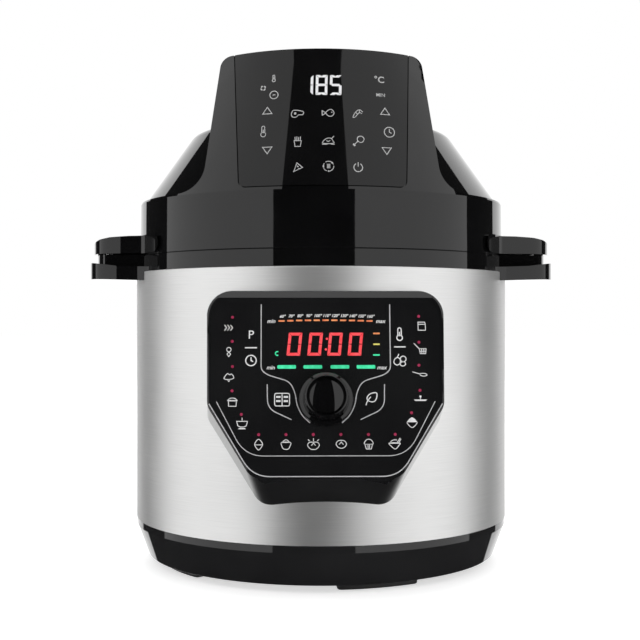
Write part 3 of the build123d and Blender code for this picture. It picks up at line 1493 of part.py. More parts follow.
make_lid_shell()
make_touch_panel()
make_dome_cover()
make_rear_hood()
make_lid_base_ring()
make_lid_screws()
make_lid_seal()
make_heat_shield()
make_heating_coil()
make_coil_supports()
make_protective_grille()
make_motor_parts()
make_fan("convection_fan", FAN_R, FAN_DISC, FAN_DISC + 1, FAN_LOW, FAN_DISC + 1, 14)
make_fan("cooling_fan", COOLING_R, COOLING_LOW, COOLING_LOW + 1, COOLING_LOW, COOLING_HIGH, 12)
make_fan_nut()
make_lid_boards()
make_inlet("lid_inlet", LID_INLET_Y, LID_INLET_Z, INLET_DEPTH + INLET_BACK - 1)
make_lid_handles()
make_handle_screws("lid_handle_screws", RING_R - RING_WALL, LID_SCREW_Z)
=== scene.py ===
import json
import math

import bmesh
import bpy
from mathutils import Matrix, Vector


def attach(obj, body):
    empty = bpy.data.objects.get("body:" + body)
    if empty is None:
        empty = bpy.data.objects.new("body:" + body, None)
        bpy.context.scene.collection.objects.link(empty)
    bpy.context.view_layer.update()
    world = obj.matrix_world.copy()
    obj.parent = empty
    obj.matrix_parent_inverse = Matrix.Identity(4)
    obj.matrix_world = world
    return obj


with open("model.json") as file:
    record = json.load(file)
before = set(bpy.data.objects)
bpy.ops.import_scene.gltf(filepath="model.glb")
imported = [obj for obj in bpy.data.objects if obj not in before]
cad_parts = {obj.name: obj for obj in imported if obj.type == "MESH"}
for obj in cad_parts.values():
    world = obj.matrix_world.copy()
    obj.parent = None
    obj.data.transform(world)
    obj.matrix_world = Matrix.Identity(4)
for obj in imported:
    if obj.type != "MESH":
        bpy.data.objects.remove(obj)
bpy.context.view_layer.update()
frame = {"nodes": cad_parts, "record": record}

nodes = frame["nodes"]
MM = 0.001

# ---------------------------------------------------------------- surfaces that carry print

FACE_LEAN = math.radians(12.0)
FACE_TOP = Vector((0.0, -146.8, 197.8)) * MM
FACE_NORMAL = Vector((0.0, -math.cos(FACE_LEAN), math.sin(FACE_LEAN)))
FACE_UP = Vector((0.0, math.sin(FACE_LEAN), math.cos(FACE_LEAN)))
CREASE_R, CREASE_Z = 137.3, 264.5
VISOR_TOP_R, VISOR_TOP_Z = 101.0, 364.2
VISOR_SLOPE = (CREASE_R - VISOR_TOP_R) / (VISOR_TOP_Z - CREASE_Z)
POT_INNER_R = 109.8
WRAP_R = 0.14  # metres, for the brushing
INK = 0.045  # height of a mark over its surface
INK_ROOT = -0.01  # a mark starts just below its surface


def on_face(u, v, height):
    """Point on the module's front face, from millimetres across and down from its top edge."""
    return FACE_TOP + (Vector((u, 0, 0)) + FACE_UP * v + FACE_NORMAL * height) * MM


def on_visor(u, z, height):
    """Point on the leaning front of the lid, from millimetres across and above the floor."""
    radius = CREASE_R - VISOR_SLOPE * (z - CREASE_Z) + height
    return Vector((u, -math.sqrt(radius * radius - u * u), z)) * MM


def in_pot(u, z, height):
    """Point on the inner pot's wall at the back, from millimetres round it and above the floor."""
    radius = POT_INNER_R - height
    turn = u / POT_INNER_R
    return Vector((radius * math.sin(turn), radius * math.cos(turn), z)) * MM


# ---------------------------------------------------------------- line drawing


def arc(cx, cy, radius, start, end, steps=24):
    """Points along an arc, angles in degrees."""
    turns = [math.radians(start + (end - start) * i / steps) for i in range(steps + 1)]
    return [(cx + radius * math.cos(t), cy + radius * math.sin(t)) for t in turns]


def spline(points, closed, steps=6):
    """Catmull-Rom curve through the points."""
    count = len(points)
    spans = count if closed else count - 1
    result = []
    for i in range(spans):
        if closed:
            a, b, c, d = (points[(i + k) % count] for k in (-1, 0, 1, 2))
        else:
            a, b, c, d = (points[min(max(i + k, 0), count - 1)] for k in (-1, 0, 1, 2))
        for s in range(steps):
            t = s / steps
            weights = (
                -0.5 * t + t * t - 0.5 * t**3,
                1 - 2.5 * t * t + 1.5 * t**3,
                0.5 * t + 2 * t * t - 1.5 * t**3,
                -0.5 * t * t + 0.5 * t**3,
            )
            result.append(tuple(sum(w * p[k] for w, p in zip(weights, (a, b, c, d))) for k in (0, 1)))
    if not closed:
        result.append(tuple(points[-1]))
    return result


def rounded(points, radius, steps=8):
    """Open line with its inner corners rounded."""
    result = [points[0]]
    for before, corner, after in zip(points, points[1:], points[2:]):
        corner = Vector(corner)
        back, ahead = Vector(before) - corner, Vector(after) - corner
        reach = min(radius, back.length / 2, ahead.length / 2)
        start, end = corner + back.normalized() * reach, corner + ahead.normalized() * reach
        for i in range(steps + 1):
            t = i / steps
            point = start * (1 - t) ** 2 + corner * 2 * t * (1 - t) + end * t * t
            result.append(tuple(point))
    result.append(points[-1])
    return result


class Print:
    """Thin raised marks on one surface, gathered in one piece."""

    def __init__(self, surface, depth=INK):
        self.surface = surface
        self.depth = depth
        self.mesh = bmesh.new()

    def _vertex(self, point, top):
        height = self.depth if top else INK_ROOT
        return self.mesh.verts.new(self.surface(point[0], point[1], height))

    def fill(self, outline):
        """Solid mark inside a closed outline."""
        area = sum(a[0] * b[1] - b[0] * a[1] for a, b in zip(outline, outline[1:] + outline[:1]))
        outline = outline if area > 0 else outline[::-1]
        tops = [self._vertex(p, True) for p in outline]
        lows = [self._vertex(p, False) for p in outline]
        self.mesh.faces.new(tops)
        self.mesh.faces.new(lows[::-1])
        for i in range(len(outline)):
            j = (i + 1) % len(outline)
            self.mesh.faces.new((tops[j], tops[i], lows[i], lows[j]))

    def stroke(self, line, width, closed=False):
        """Line of even width along the points, with square ends."""
        points = [Vector(p) for p in line]
        count = len(points)
        rails = []
        for i, here in enumerate(points):
            before = points[i - 1] if (closed or i > 0) else None
            after = points[(i + 1) % count] if (closed or i < count - 1) else None
            runs = []
            if before is not None:
                runs.append((here - before).normalized())
            if after is not None:
                runs.append((after - here).normalized())
            along = sum(runs, Vector((0, 0))).normalized()
            across = Vector((-along.y, along.x))
            stretch = 1 / max(0.5, across.dot(Vector((-runs[-1].y, runs[-1].x))))
            half = across * (width / 2 * stretch)
            rails.append([self._vertex(p, top) for top in (True, False) for p in (here + half, here - half)])
        spans = count if closed else count - 1
        for i in range(spans):
            a, b = rails[i], rails[(i + 1) % count]
            for k, m in ((0, 1), (1, 3), (3, 2), (2, 0)):
                self.mesh.faces.new((a[k], a[m], b[m], b[k]))
        if not closed:
            first, last = rails[0], rails[-1]
            self.mesh.faces.new((first[0], first[2], first[3], first[1]))
            self.mesh.faces.new((last[1], last[3], last[2], last[0]))

    def text(self, words, cx, cy, size, slant=0.0, weight=0.0):
        """Plain letters or figures centred on a point."""
        curve = bpy.data.curves.new("letters", "FONT")
        curve.body = words
        curve.size = size
        curve.align_x = "CENTER"
        curve.align_y = "CENTER"
        curve.shear = slant
        curve.extrude = 0.5
        curve.offset = weight
        curve.resolution_u = 3
        holder = bpy.data.objects.new("letters", curve)
        shape = bpy.data.meshes.new_from_object(holder)
        made = [self._vertex((cx + v.co.x, cy + v.co.y), v.co.z > 0) for v in shape.vertices]
        for face in shape.polygons:
            corners = [made[i] for i in face.vertices]
            if len(set(corners)) > 2 and self.mesh.faces.get(corners) is None:
                self.mesh.faces.new(corners)
        bpy.data.objects.remove(holder)
        bpy.data.curves.remove(curve)
        bpy.data.meshes.remove(shape)

    def icon(self, marks, cx, cy, size, width):
        """Line icon from marks in a box of -1 to 1."""

        def place(points):
            return [(cx + x * size / 2, cy + y * size / 2) for x, y in points]

        for kind, data in marks:
            if kind == "line":
                self.stroke(place(data), width)
            elif kind == "loop":
                self.stroke(place(data), width, closed=True)
            elif kind == "curve":
                self.stroke(place(spline(data, False)), width)
            elif kind == "blob":
                self.stroke(place(spline(data, True)), width, closed=True)
            elif kind == "ring":
                x, y, r = data
                self.stroke(place(arc(x, y, r, 0, 360, 28)[:-1]), width, closed=True)
            elif kind == "arc":
                self.stroke(place(arc(*data)), width)
            elif kind == "dot":
                x, y, r = data
                self.fill(place(arc(x, y, r, 0, 360, 20)[:-1]))
            else:
                self.fill(place(data))

    def finish(self, name, body, material, slot):
        """Turn the marks into a piece that rides on a body."""
        bmesh.ops.remove_doubles(self.mesh, verts=self.mesh.verts, dist=1e-7)
        bmesh.ops.recalc_face_normals(self.mesh, faces=self.mesh.faces)
        shape = bpy.data.meshes.new(name)
        self.mesh.to_mesh(shape)
        self.mesh.free()
        piece = bpy.data.objects.new(name, shape)
        bpy.context.scene.collection.objects.link(piece)
        shape.materials.append(material)
        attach(piece, body)
        return piece


# ---------------------------------------------------------------- materials


class Shader:
    """Short calls that build one material's nodes. Scales are per metre of the object."""

    def __init__(self, name, **sockets):
        self.material = bpy.data.materials.new(name)
        self.material.use_nodes = True
        self.tree = self.material.node_tree
        self.tree.nodes.clear()
        output = self.tree.nodes.new("ShaderNodeOutputMaterial")
        self.surface = self.tree.nodes.new("ShaderNodeBsdfPrincipled")
        self.tree.links.new(self.surface.outputs["BSDF"], output.inputs["Surface"])
        self.coordinates = self.tree.nodes.new("ShaderNodeTexCoord").outputs["Object"]
        for socket, value in sockets.items():
            self.surface.inputs[socket.replace("_", " ")].default_value = value

    def put(self, kind, *links, **settings):
        """Add a node; links are (input, value or socket) pairs."""
        node = self.tree.nodes.new(kind)
        for key, value in settings.items():
            setattr(node, key, value)
        for key, value in links:
            if isinstance(value, bpy.types.NodeSocket):
                self.tree.links.new(value, node.inputs[key])
            else:
                node.inputs[key].default_value = value
        return node

    def scaled(self, scale):
        """Coordinates enlarged alike along every axis."""
        node = self.put("ShaderNodeMapping", ("Vector", self.coordinates), ("Scale", (scale, scale, scale)))
        return node.outputs["Vector"]

    def wrapped(self, round_scale, up_scale):
        """Coordinates that run round the axis and up it, for grain drawn round the body."""
        parts = self.put("ShaderNodeSeparateXYZ", ("Vector", self.coordinates))
        turn = self.math("ARCTAN2", parts.outputs["Y"], parts.outputs["X"])
        node = self.put(
            "ShaderNodeCombineXYZ",
            ("X", self.math("MULTIPLY", turn, WRAP_R * round_scale)),
            ("Y", self.math("MULTIPLY", parts.outputs["Z"], up_scale)),
            ("Z", 0.0),
        )
        return node.outputs["Vector"]

    def math(self, operation, a, b=0.0):
        """One sum on two values or sockets."""
        node = self.put("ShaderNodeMath", (0, a), (1, b), operation=operation)
        return node.outputs["Value"]

    def noise(self, scale, detail=4.0, roughness=0.5, vector=None):
        """Cloudy value from 0 to 1."""
        node = self.put(
            "ShaderNodeTexNoise",
            ("Vector", self.coordinates if vector is None else vector),
            ("Scale", scale),
            ("Detail", detail),
            ("Roughness", roughness),
        )
        return node.outputs["Fac"]

    def cells(self, scale):
        """Distance to the nearest of many scattered points."""
        node = self.put("ShaderNodeTexVoronoi", ("Vector", self.coordinates), ("Scale", scale))
        return node.outputs["Distance"]

    def span(self, value, low, high, to_low, to_high):
        """Value carried from one range to another and held at its ends."""
        node = self.put(
            "ShaderNodeMapRange",
            ("Value", value),
            ("From Min", low),
            ("From Max", high),
            ("To Min", to_low),
            ("To Max", to_high),
        )
        return node.outputs["Result"]

    def colour(self, factor, first, second):
        """Base colour mixed from two by a factor."""
        node = self.put("ShaderNodeMix", data_type="RGBA")
        self.tree.links.new(factor, node.inputs[0])
        node.inputs[6].default_value = (*first, 1)
        node.inputs[7].default_value = (*second, 1)
        self.tree.links.new(node.outputs[2], self.surface.inputs["Base Color"])
        return node.outputs[2]

    def rough(self, value):
        """Drive the roughness with a value."""
        self.tree.links.new(value, self.surface.inputs["Roughness"])

    def bump(self, *layers):
        """Bump layers of (height, strength, distance in millimetres), one over the other."""
        normal = None
        for height, strength, distance in layers:
            node = self.put(
                "ShaderNodeBump", ("Height", height), ("Strength", strength), ("Distance", distance * MM)
            )
            if normal is not None:
                self.tree.links.new(normal, node.inputs["Normal"])
            normal = node.outputs["Normal"]
        self.tree.links.new(normal, self.surface.inputs["Normal"])


def scratches(shader, scale, amount):
    """Fine hairlines in two directions, as a value from 0 to amount."""
    lines = []
    for turn in (0.3, 1.9):
        node = shader.put(
            "ShaderNodeMapping",
            ("Vector", shader.coordinates),
            ("Rotation", (turn, turn * 0.7, turn * 1.3)),
            ("Scale", (scale, scale * 0.02, scale * 0.6)),
        )
        streak = shader.noise(1.0, 2.0, 0.5, node.outputs["Vector"])
        lines.append(shader.span(streak, 0.68, 0.74, 0.0, amount))
    return shader.math("MAXIMUM", *lines)


def gloss_plastic(name, low, high, smooth=0.02, hazy=0.05, ior=1.5):
    """Polished moulded plastic with faint flow, smudges and hairlines."""
    shader = Shader(name, IOR=ior)
    flow = shader.noise(22.0, 3.0)
    shader.colour(shader.span(flow, 0.35, 0.65, 0.0, 1.0), low, high)
    smudge = shader.span(shader.noise(38.0, 5.0, 0.62), 0.42, 0.7, smooth, hazy)
    shader.rough(shader.math("ADD", smudge, scratches(shader, 900.0, 0.05)))
    shader.bump((flow, 0.08, 0.2), (shader.noise(420.0, 2.0), 0.02, 0.03))
    return shader.material


def fine_plastic(name, low, high, grain):
    """Moulded plastic with a fine spark-eroded texture, rubbed a little smoother in places."""
    shader = Shader(name, IOR=1.48)
    worn = shader.noise(30.0, 4.0)
    pits = shader.cells(grain)
    shader.colour(shader.span(worn, 0.3, 0.7, 0.0, 1.0), low, high)
    shader.rough(shader.span(worn, 0.3, 0.7, 0.36, 0.5))
    shader.bump((pits, 0.25, 0.06), (shader.noise(grain * 1.7, 3.0), 0.15, 0.04))
    return shader.material


def wrap_steel(name):
    """Stainless sheet brushed round the body."""
    shader = Shader(name, Metallic=1.0, Anisotropic=0.45, IOR=2.5)
    coarse = shader.noise(1.0, 3.0, 0.6, shader.wrapped(26.0, 2600.0))
    fine = shader.noise(1.0, 2.0, 0.6, shader.wrapped(90.0, 7000.0))
    cloud = shader.noise(14.0, 3.0)
    shader.colour(shader.span(coarse, 0.25, 0.75, 0.0, 1.0), (0.75, 0.75, 0.745), (0.84, 0.84, 0.835))
    streaks = shader.span(fine, 0.2, 0.8, -0.05, 0.05)
    patches = shader.span(cloud, 0.3, 0.7, 0.38, 0.43)
    shader.rough(shader.math("ADD", streaks, patches))
    tangent = shader.put("ShaderNodeTangent", direction_type="RADIAL", axis="Z")
    shader.tree.links.new(tangent.outputs["Tangent"], shader.surface.inputs["Tangent"])
    shader.bump((coarse, 0.06, 0.03), (fine, 0.05, 0.02))
    return shader.material


def bright_metal(name, low, high, smooth, hazy, grain=300.0, strength=0.08):
    """Plated, pressed or turned metal with slight staining."""
    shader = Shader(name, Metallic=1.0)
    stain = shader.noise(55.0, 5.0, 0.6)
    shader.colour(shader.span(stain, 0.35, 0.68, 0.0, 1.0), low, high)
    haze = shader.span(stain, 0.35, 0.7, smooth, hazy)
    shader.rough(shader.math("ADD", haze, scratches(shader, 700.0, 0.08)))
    shader.bump((shader.noise(grain, 3.0), strength, 0.05))
    return shader.material


def turned_metal(name):
    """Cast aluminium with concentric turning marks and heat marks."""
    shader = Shader(name, Metallic=1.0)
    parts = shader.put("ShaderNodeSeparateXYZ", ("Vector", shader.coordinates))
    across, along = parts.outputs["X"], parts.outputs["Y"]
    flat = shader.put("ShaderNodeCombineXYZ", ("X", across), ("Y", along), ("Z", 0.0))
    radius = shader.put("ShaderNodeVectorMath", (0, flat.outputs["Vector"]), operation="LENGTH")
    rings = shader.math("SINE", shader.math("MULTIPLY", radius.outputs["Value"], 9000.0))
    heat = shader.noise(40.0, 4.0, 0.6)
    shader.colour(shader.span(heat, 0.3, 0.7, 0.0, 1.0), (0.62, 0.62, 0.61), (0.78, 0.77, 0.75))
    shader.rough(shader.span(heat, 0.3, 0.7, 0.26, 0.4))
    shader.bump((rings, 0.12, 0.03), (shader.noise(900.0, 3.0), 0.08, 0.03))
    return shader.material


def pot_coat(name):
    """Dark non-stick coating with its fine pale flecks."""
    shader = Shader(name, Metallic=0.35, IOR=1.6)
    flecks = shader.span(shader.cells(700.0), 0.0, 0.16, 1.0, 0.0)
    shader.colour(flecks, (0.035, 0.035, 0.038), (0.17, 0.17, 0.175))
    shader.rough(shader.span(shader.noise(60.0, 4.0), 0.3, 0.7, 0.3, 0.42))
    shader.bump((shader.noise(1100.0, 3.0), 0.12, 0.04))
    return shader.material


def rubber(name, low, high):
    """Matt rubber with a dusty bloom."""
    shader = Shader(name, IOR=1.45)
    bloom = shader.noise(45.0, 5.0, 0.65)
    shader.colour(shader.span(bloom, 0.35, 0.7, 0.0, 1.0), low, high)
    shader.rough(shader.span(bloom, 0.3, 0.7, 0.55, 0.75))
    shader.bump((shader.cells(1500.0), 0.2, 0.05))
    return shader.material


def circuit(name):
    """Solder resist over copper tracks."""
    shader = Shader(name, IOR=1.5)
    tracks = shader.put(
        "ShaderNodeTexBrick",
        ("Vector", shader.scaled(140.0)),
        ("Scale", 1.0),
        ("Mortar Size", 0.05),
        ("Mortar Smooth", 0.4),
        ("Color1", (0.0, 0.0, 0.0, 1)),
        ("Color2", (0.25, 0.25, 0.25, 1)),
        ("Mortar", (1.0, 1.0, 1.0, 1)),
    ).outputs["Color"]
    shader.colour(tracks, (0.010, 0.085, 0.035), (0.035, 0.19, 0.085))
    shader.rough(shader.span(shader.noise(80.0, 3.0), 0.3, 0.7, 0.22, 0.36))
    shader.bump((tracks, 0.3, 0.05))
    return shader.material


def clear_cup(name):
    """Clear moulded plastic with a slight frosting."""
    shader = Shader(name, IOR=1.49, Transmission_Weight=0.92)
    haze = shader.noise(70.0, 4.0)
    shader.colour(haze, (0.90, 0.92, 0.93), (0.97, 0.98, 0.98))
    shader.rough(shader.span(haze, 0.3, 0.7, 0.05, 0.16))
    shader.bump((shader.noise(300.0, 2.0), 0.05, 0.05))
    return shader.material


def ink(name, low, high, rough_low=0.35, rough_high=0.5, metallic=0.0):
    """Screen-printed or stamped marks, a little uneven."""
    shader = Shader(name, Metallic=metallic)
    patch = shader.noise(260.0, 4.0, 0.6)
    shader.colour(shader.span(patch, 0.3, 0.7, 0.0, 1.0), low, high)
    shader.rough(shader.span(patch, 0.3, 0.7, rough_low, rough_high))
    shader.bump((shader.noise(1600.0, 2.0), 0.05, 0.01))
    return shader.material


def lamp(name, low, high, strength):
    """Lit segment behind a smoked window, brighter in patches."""
    shader = Shader(name, Roughness=0.3)
    glow = shader.colour(shader.span(shader.noise(420.0, 2.0), 0.3, 0.7, 0.0, 1.0), low, high)
    shader.tree.links.new(glow, shader.surface.inputs["Emission Color"])
    shader.surface.inputs["Emission Strength"].default_value = strength
    shader.rough(shader.span(shader.noise(900.0, 2.0), 0.3, 0.7, 0.25, 0.4))
    shader.bump((shader.noise(1500.0, 2.0), 0.05, 0.02))
    return shader.material


finishes = {
    "gloss_black": gloss_plastic("gloss_black", (0.0014, 0.0014, 0.0016), (0.0026, 0.0026, 0.0028)),
    "panel_black": gloss_plastic("panel_black", (0.006, 0.0061, 0.0065), (0.0085, 0.0087, 0.009)),
    "moulded_black": fine_plastic("moulded_black", (0.014, 0.014, 0.015), (0.026, 0.026, 0.027), 1500.0),
    "rubber": rubber("rubber", (0.012, 0.012, 0.012), (0.03, 0.03, 0.029)),
    "silicone": rubber("silicone", (0.5, 0.5, 0.48), (0.66, 0.66, 0.64)),
    "brushed_steel": wrap_steel("brushed_steel"),
    "pressed_steel": bright_metal("pressed_steel", (0.55, 0.55, 0.54), (0.66, 0.66, 0.65), 0.22, 0.34, 900.0),
    "zinc_steel": bright_metal("zinc_steel", (0.5, 0.5, 0.5), (0.68, 0.68, 0.67), 0.16, 0.3),
    "chrome_wire": bright_metal("chrome_wire", (0.6, 0.6, 0.61), (0.75, 0.75, 0.76), 0.07, 0.16),
    "dark_steel": bright_metal("dark_steel", (0.09, 0.085, 0.08), (0.2, 0.185, 0.17), 0.35, 0.5, 700.0, 0.2),
    "cast_aluminium": turned_metal("cast_aluminium"),
    "pot_coating": pot_coat("pot_coating"),
    "circuit_board": circuit("circuit_board"),
    "display_black": fine_plastic("display_black", (0.012, 0.012, 0.013), (0.022, 0.022, 0.023), 2200.0),
    "relay_blue": fine_plastic("relay_blue", (0.015, 0.06, 0.24), (0.025, 0.09, 0.33), 1800.0),
    "brass": bright_metal("brass", (0.62, 0.44, 0.17), (0.75, 0.56, 0.25), 0.15, 0.3),
    "clear_plastic": clear_cup("clear_plastic"),
}

for part in frame["record"]["subparts"]:
    piece = nodes[part["node"]]
    piece.data.materials.clear()
    piece.data.materials.append(finishes[part["material_slot"]])

# Pieces of the same plastics a shade apart: the touch panel and the module housing are moulded or lacquered
# so, and the base is lighter as painted reflection of the floor its flank doesn't mirror
for name, finish in {
    "touch_panel": gloss_plastic(
        "touch_glass", (0.0028, 0.0028, 0.003), (0.0042, 0.0042, 0.0044), ior=1.4
    ),
    # painted reflection: a lighter black so the base's flank shows the grey it would get from mirroring the
    # floor
    "base_shell": gloss_plastic("base_black_painted_reflection", (0.009, 0.009, 0.0095), (0.013, 0.013, 0.0135)),
    "module_housing": gloss_plastic("module_black", (0.005, 0.005, 0.0054), (0.008, 0.008, 0.0084)),
}.items():
    nodes[name].data.materials.clear()
    nodes[name].data.materials.append(finish)

print_white = ink("print_white", (0.62, 0.62, 0.62), (0.78, 0.78, 0.78))
print_grey = ink("print_grey", (0.36, 0.36, 0.36), (0.48, 0.48, 0.48))
print_silver = ink("print_silver", (0.50, 0.50, 0.51), (0.62, 0.62, 0.63), 0.3, 0.4, 0.2)
lamp_red = lamp("lamp_red", (0.78, 0.045, 0.055), (0.95, 0.1, 0.115), 0.22)
lamp_crimson = lamp("lamp_crimson", (0.2, 0.01, 0.035), (0.34, 0.025, 0.08), 0.2)
lamp_orange = lamp("lamp_orange", (0.62, 0.13, 0.06), (0.82, 0.34, 0.13), 0.12)
lamp_yellow = lamp("lamp_yellow", (0.56, 0.5, 0.1), (0.68, 0.62, 0.18), 0.12)
lamp_green = lamp("lamp_green", (0.03, 0.6, 0.27), (0.08, 0.8, 0.42), 0.18)
lamp_white = lamp("lamp_white", (0.62, 0.62, 0.63), (0.74, 0.74, 0.75), 0.15)


# ---------------------------------------------------------------- icons, in a box of -1 to 1

CLOCK = [("ring", (0, 0, 0.95)), ("line", [(0, 0.6), (0, 0), (0.38, -0.18)])]
THERMOMETER = [
    ("line", arc(0, 0.72, 0.26, 180, 0, 8)[::-1] + arc(0, -0.55, 0.42, 128, 412, 20)[0:1]),
    ("line", [(0.26, 0.72), (0.26, -0.22)]),
    ("ring", (0, -0.55, 0.42)),
    ("line", [(0, 0.35), (0, -0.3)]),
]
CHEVRONS = [("line", [(x, 0.62), (x + 0.5, 0), (x, -0.62)]) for x in (-1.0, -0.35, 0.3)]
SKEWER = [
    ("ring", (0, 0.45, 0.42)),
    ("loop", [(0, -0.02), (0.34, -0.42), (0, -0.92), (-0.34, -0.42)]),
]
STEAM = [
    (
        "blob",
        [
            (-0.9, -0.25), (-0.62, 0.25), (-0.25, 0.62), (0.15, 0.42), (0.5, 0.55), (0.92, -0.1),
            (0.5, -0.4), (-0.5, -0.45),
        ],
    ),
    ("line", [(-0.2, -0.62), (0, -0.85), (0.2, -0.62)]),
]
LIDDED_POT = [
    ("loop", [(-0.75, 0.18), (0.75, 0.18), (0.68, -0.8), (-0.68, -0.8)]),
    ("curve", [(-0.95, 0.22), (-0.5, 0.62), (0, 0.72), (0.5, 0.62), (0.95, 0.22)]),
    ("fill", [(-0.95, 0.18), (0.95, 0.18), (0.85, 0.36), (-0.85, 0.36)]),
]
STAND_POT = [
    ("loop", [(-0.9, 0.35), (0.9, 0.35), (0.72, -0.4), (0.3, -0.6), (-0.3, -0.6), (-0.72, -0.4)]),
    ("line", [(0, 0.95), (0, 0.5)]),
    ("fill", [(-0.5, -0.78), (0.5, -0.78), (0.65, -0.98), (-0.65, -0.98)]),
]
RICE_BAG = [
    (
        "blob",
        [
            (0, 0.95), (0.5, 0.5), (0.68, 0), (0.42, -0.5), (0, -0.9), (-0.42, -0.5), (-0.68, 0),
            (-0.5, 0.5),
        ],
    ),
    ("line", [(-0.66, -0.02), (0.66, -0.02)]),
]
JAR = [
    ("blob", [(-0.78, 0.35), (0.78, 0.35), (0.75, -0.3), (0.4, -0.85), (-0.4, -0.85), (-0.75, -0.3)]),
    ("line", [(-0.9, 0.35), (0.9, 0.35)]),
    ("curve", [(-0.6, 0.5), (0, 0.85), (0.6, 0.5)]),
]
TOMATO = [
    (
        "blob",
        [
            (0, 0.3), (0.7, 0.25), (0.95, -0.25), (0.5, -0.8), (0, -0.9), (-0.5, -0.8), (-0.95, -0.25),
            (-0.7, 0.25),
        ],
    ),
    ("line", [(-0.35, -0.25), (0, 0.15), (0.35, -0.25)]),
    ("line", [(0, 0.95), (0, 0.45)]),
    ("line", [(-0.9, 0.75), (-0.62, 0.5)]),
    ("line", [(0.9, 0.75), (0.62, 0.5)]),
]
DUMPLING = [
    (
        "blob",
        [
            (0, 0.75), (0.65, 0.6), (0.95, 0.05), (0.6, -0.5), (0, -0.7), (-0.6, -0.5), (-0.95, 0.05),
            (-0.65, 0.6),
        ],
    ),
    ("line", [(-0.4, -0.02), (0, 0.45), (0.4, -0.02)]),
]
CUPCAKE = [
    ("blob", [(-0.8, 0.1), (-0.55, 0.7), (0, 0.95), (0.55, 0.7), (0.8, 0.1), (0, 0.02)]),
    ("loop", [(-0.7, 0.02), (0.7, 0.02), (0.45, -0.85), (-0.45, -0.85)]),
    ("line", [(-0.15, -0.05), (-0.12, -0.75)]),
    ("line", [(0.15, -0.05), (0.12, -0.75)]),
]
NOODLES = [
    ("blob", [(-0.95, 0.12), (0.75, 0.12), (0.62, -0.3), (0, -0.9), (-0.75, -0.35)]),
    ("fill", [(-0.9, 0.2), (0.75, 0.2), (0.75, 0.0), (-0.9, 0.0)]),
    ("curve", [(-0.8, 0.3), (-0.3, 0.62), (0.3, 0.62)]),
    ("line", [(0.35, 0.25), (0.85, 0.95)]),
    ("line", [(0.6, 0.22), (1.0, 0.8)]),
]
RICE_BOWL = [
    ("fill", [(-0.95, 0.0), (-0.5, 0.6), (0, 0.9), (0.5, 0.6), (0.95, 0.0)]),
    ("curve", [(-0.95, -0.05), (-0.55, -0.6), (0, -0.95), (0.55, -0.6), (0.95, -0.05)]),
]
DISH = [
    ("fill", [(-1.0, -0.1), (1.0, -0.1), (0.75, -0.32), (-0.75, -0.32)]),
    ("dot", (0, 0.35, 0.16)),
    ("line", [(0, 0.2), (0, -0.08)]),
]
PAN = [
    ("line", [(-1.0, 0.32), (0.1, 0.02)]),
    ("blob", [(0.1, 0.08), (0.6, 0.1), (1.0, -0.02), (0.95, -0.22), (0.5, -0.28), (0.12, -0.15)]),
]
FRY_BASKET = [
    ("line", [(-0.95, 0.85), (-0.1, -0.05)]),
    ("loop", [(-0.15, 0.0), (0.9, 0.0), (0.82, -0.75), (0.0, -0.75)]),
    ("line", [(0.2, 0.0), (0.25, -0.75)]),
    ("line", [(0.55, 0.0), (0.55, -0.75)]),
    ("line", [(-0.08, -0.38), (0.86, -0.38)]),
]
TOASTER = [
    ("loop", [(-0.75, 0.85), (0.6, 0.85), (0.75, 0.45), (0.75, -0.85), (-0.75, -0.85)]),
    ("line", [(-0.7, 0.4), (0.7, 0.4)]),
]
FRUIT = [
    ("blob", [(-0.35, 0.35), (0.0, 0.0), (-0.1, -0.55), (-0.55, -0.75), (-0.95, -0.4), (-0.8, 0.15)]),
    ("ring", (0.42, 0.15, 0.42)),
    ("blob", [(0.1, -0.35), (0.6, -0.3), (0.75, -0.65), (0.4, -0.9), (0.0, -0.75)]),
    ("line", [(-0.2, 0.9), (-0.45, 0.4)]),
]
MENU_FRAME = [(-1.0, 0), (-1.0, 0.85), (1.0, 0.85), (1.0, -0.85), (-1.0, -0.85), (-1.0, -0.02)]
MENU = [
    ("loop", rounded(MENU_FRAME, 0.3)),
    ("line", [(0, 0.85), (0, -0.85)]),
    ("fill", [(-0.8, 0.5), (-0.2, 0.5), (-0.2, 0.24), (-0.8, 0.24)]),
    ("fill", [(-0.8, -0.06), (-0.2, -0.06), (-0.2, -0.32), (-0.8, -0.32)]),
    ("fill", [(0.2, 0.5), (0.8, 0.5), (0.8, 0.24), (0.2, 0.24)]),
    ("fill", [(0.2, -0.06), (0.8, -0.06), (0.8, -0.32), (0.2, -0.32)]),
]
LEAF = [
    (
        "blob",
        [
            (0.75, 0.95), (0.8, 0.25), (0.45, -0.35), (-0.15, -0.4), (-0.65, -0.1), (-0.6, 0.4),
            (-0.1, 0.85),
        ],
    ),
    ("curve", [(-0.85, -0.95), (-0.65, -0.35), (-0.1, 0.35)]),
]


def blade(turn):
    """Half-round fan blade beside the hub, turned by radians."""
    hub, start = 0.42, math.degrees(turn) - 80
    return ("fill", arc(hub * math.cos(turn), hub * math.sin(turn), 0.4, start, math.degrees(turn) + 100, 6))


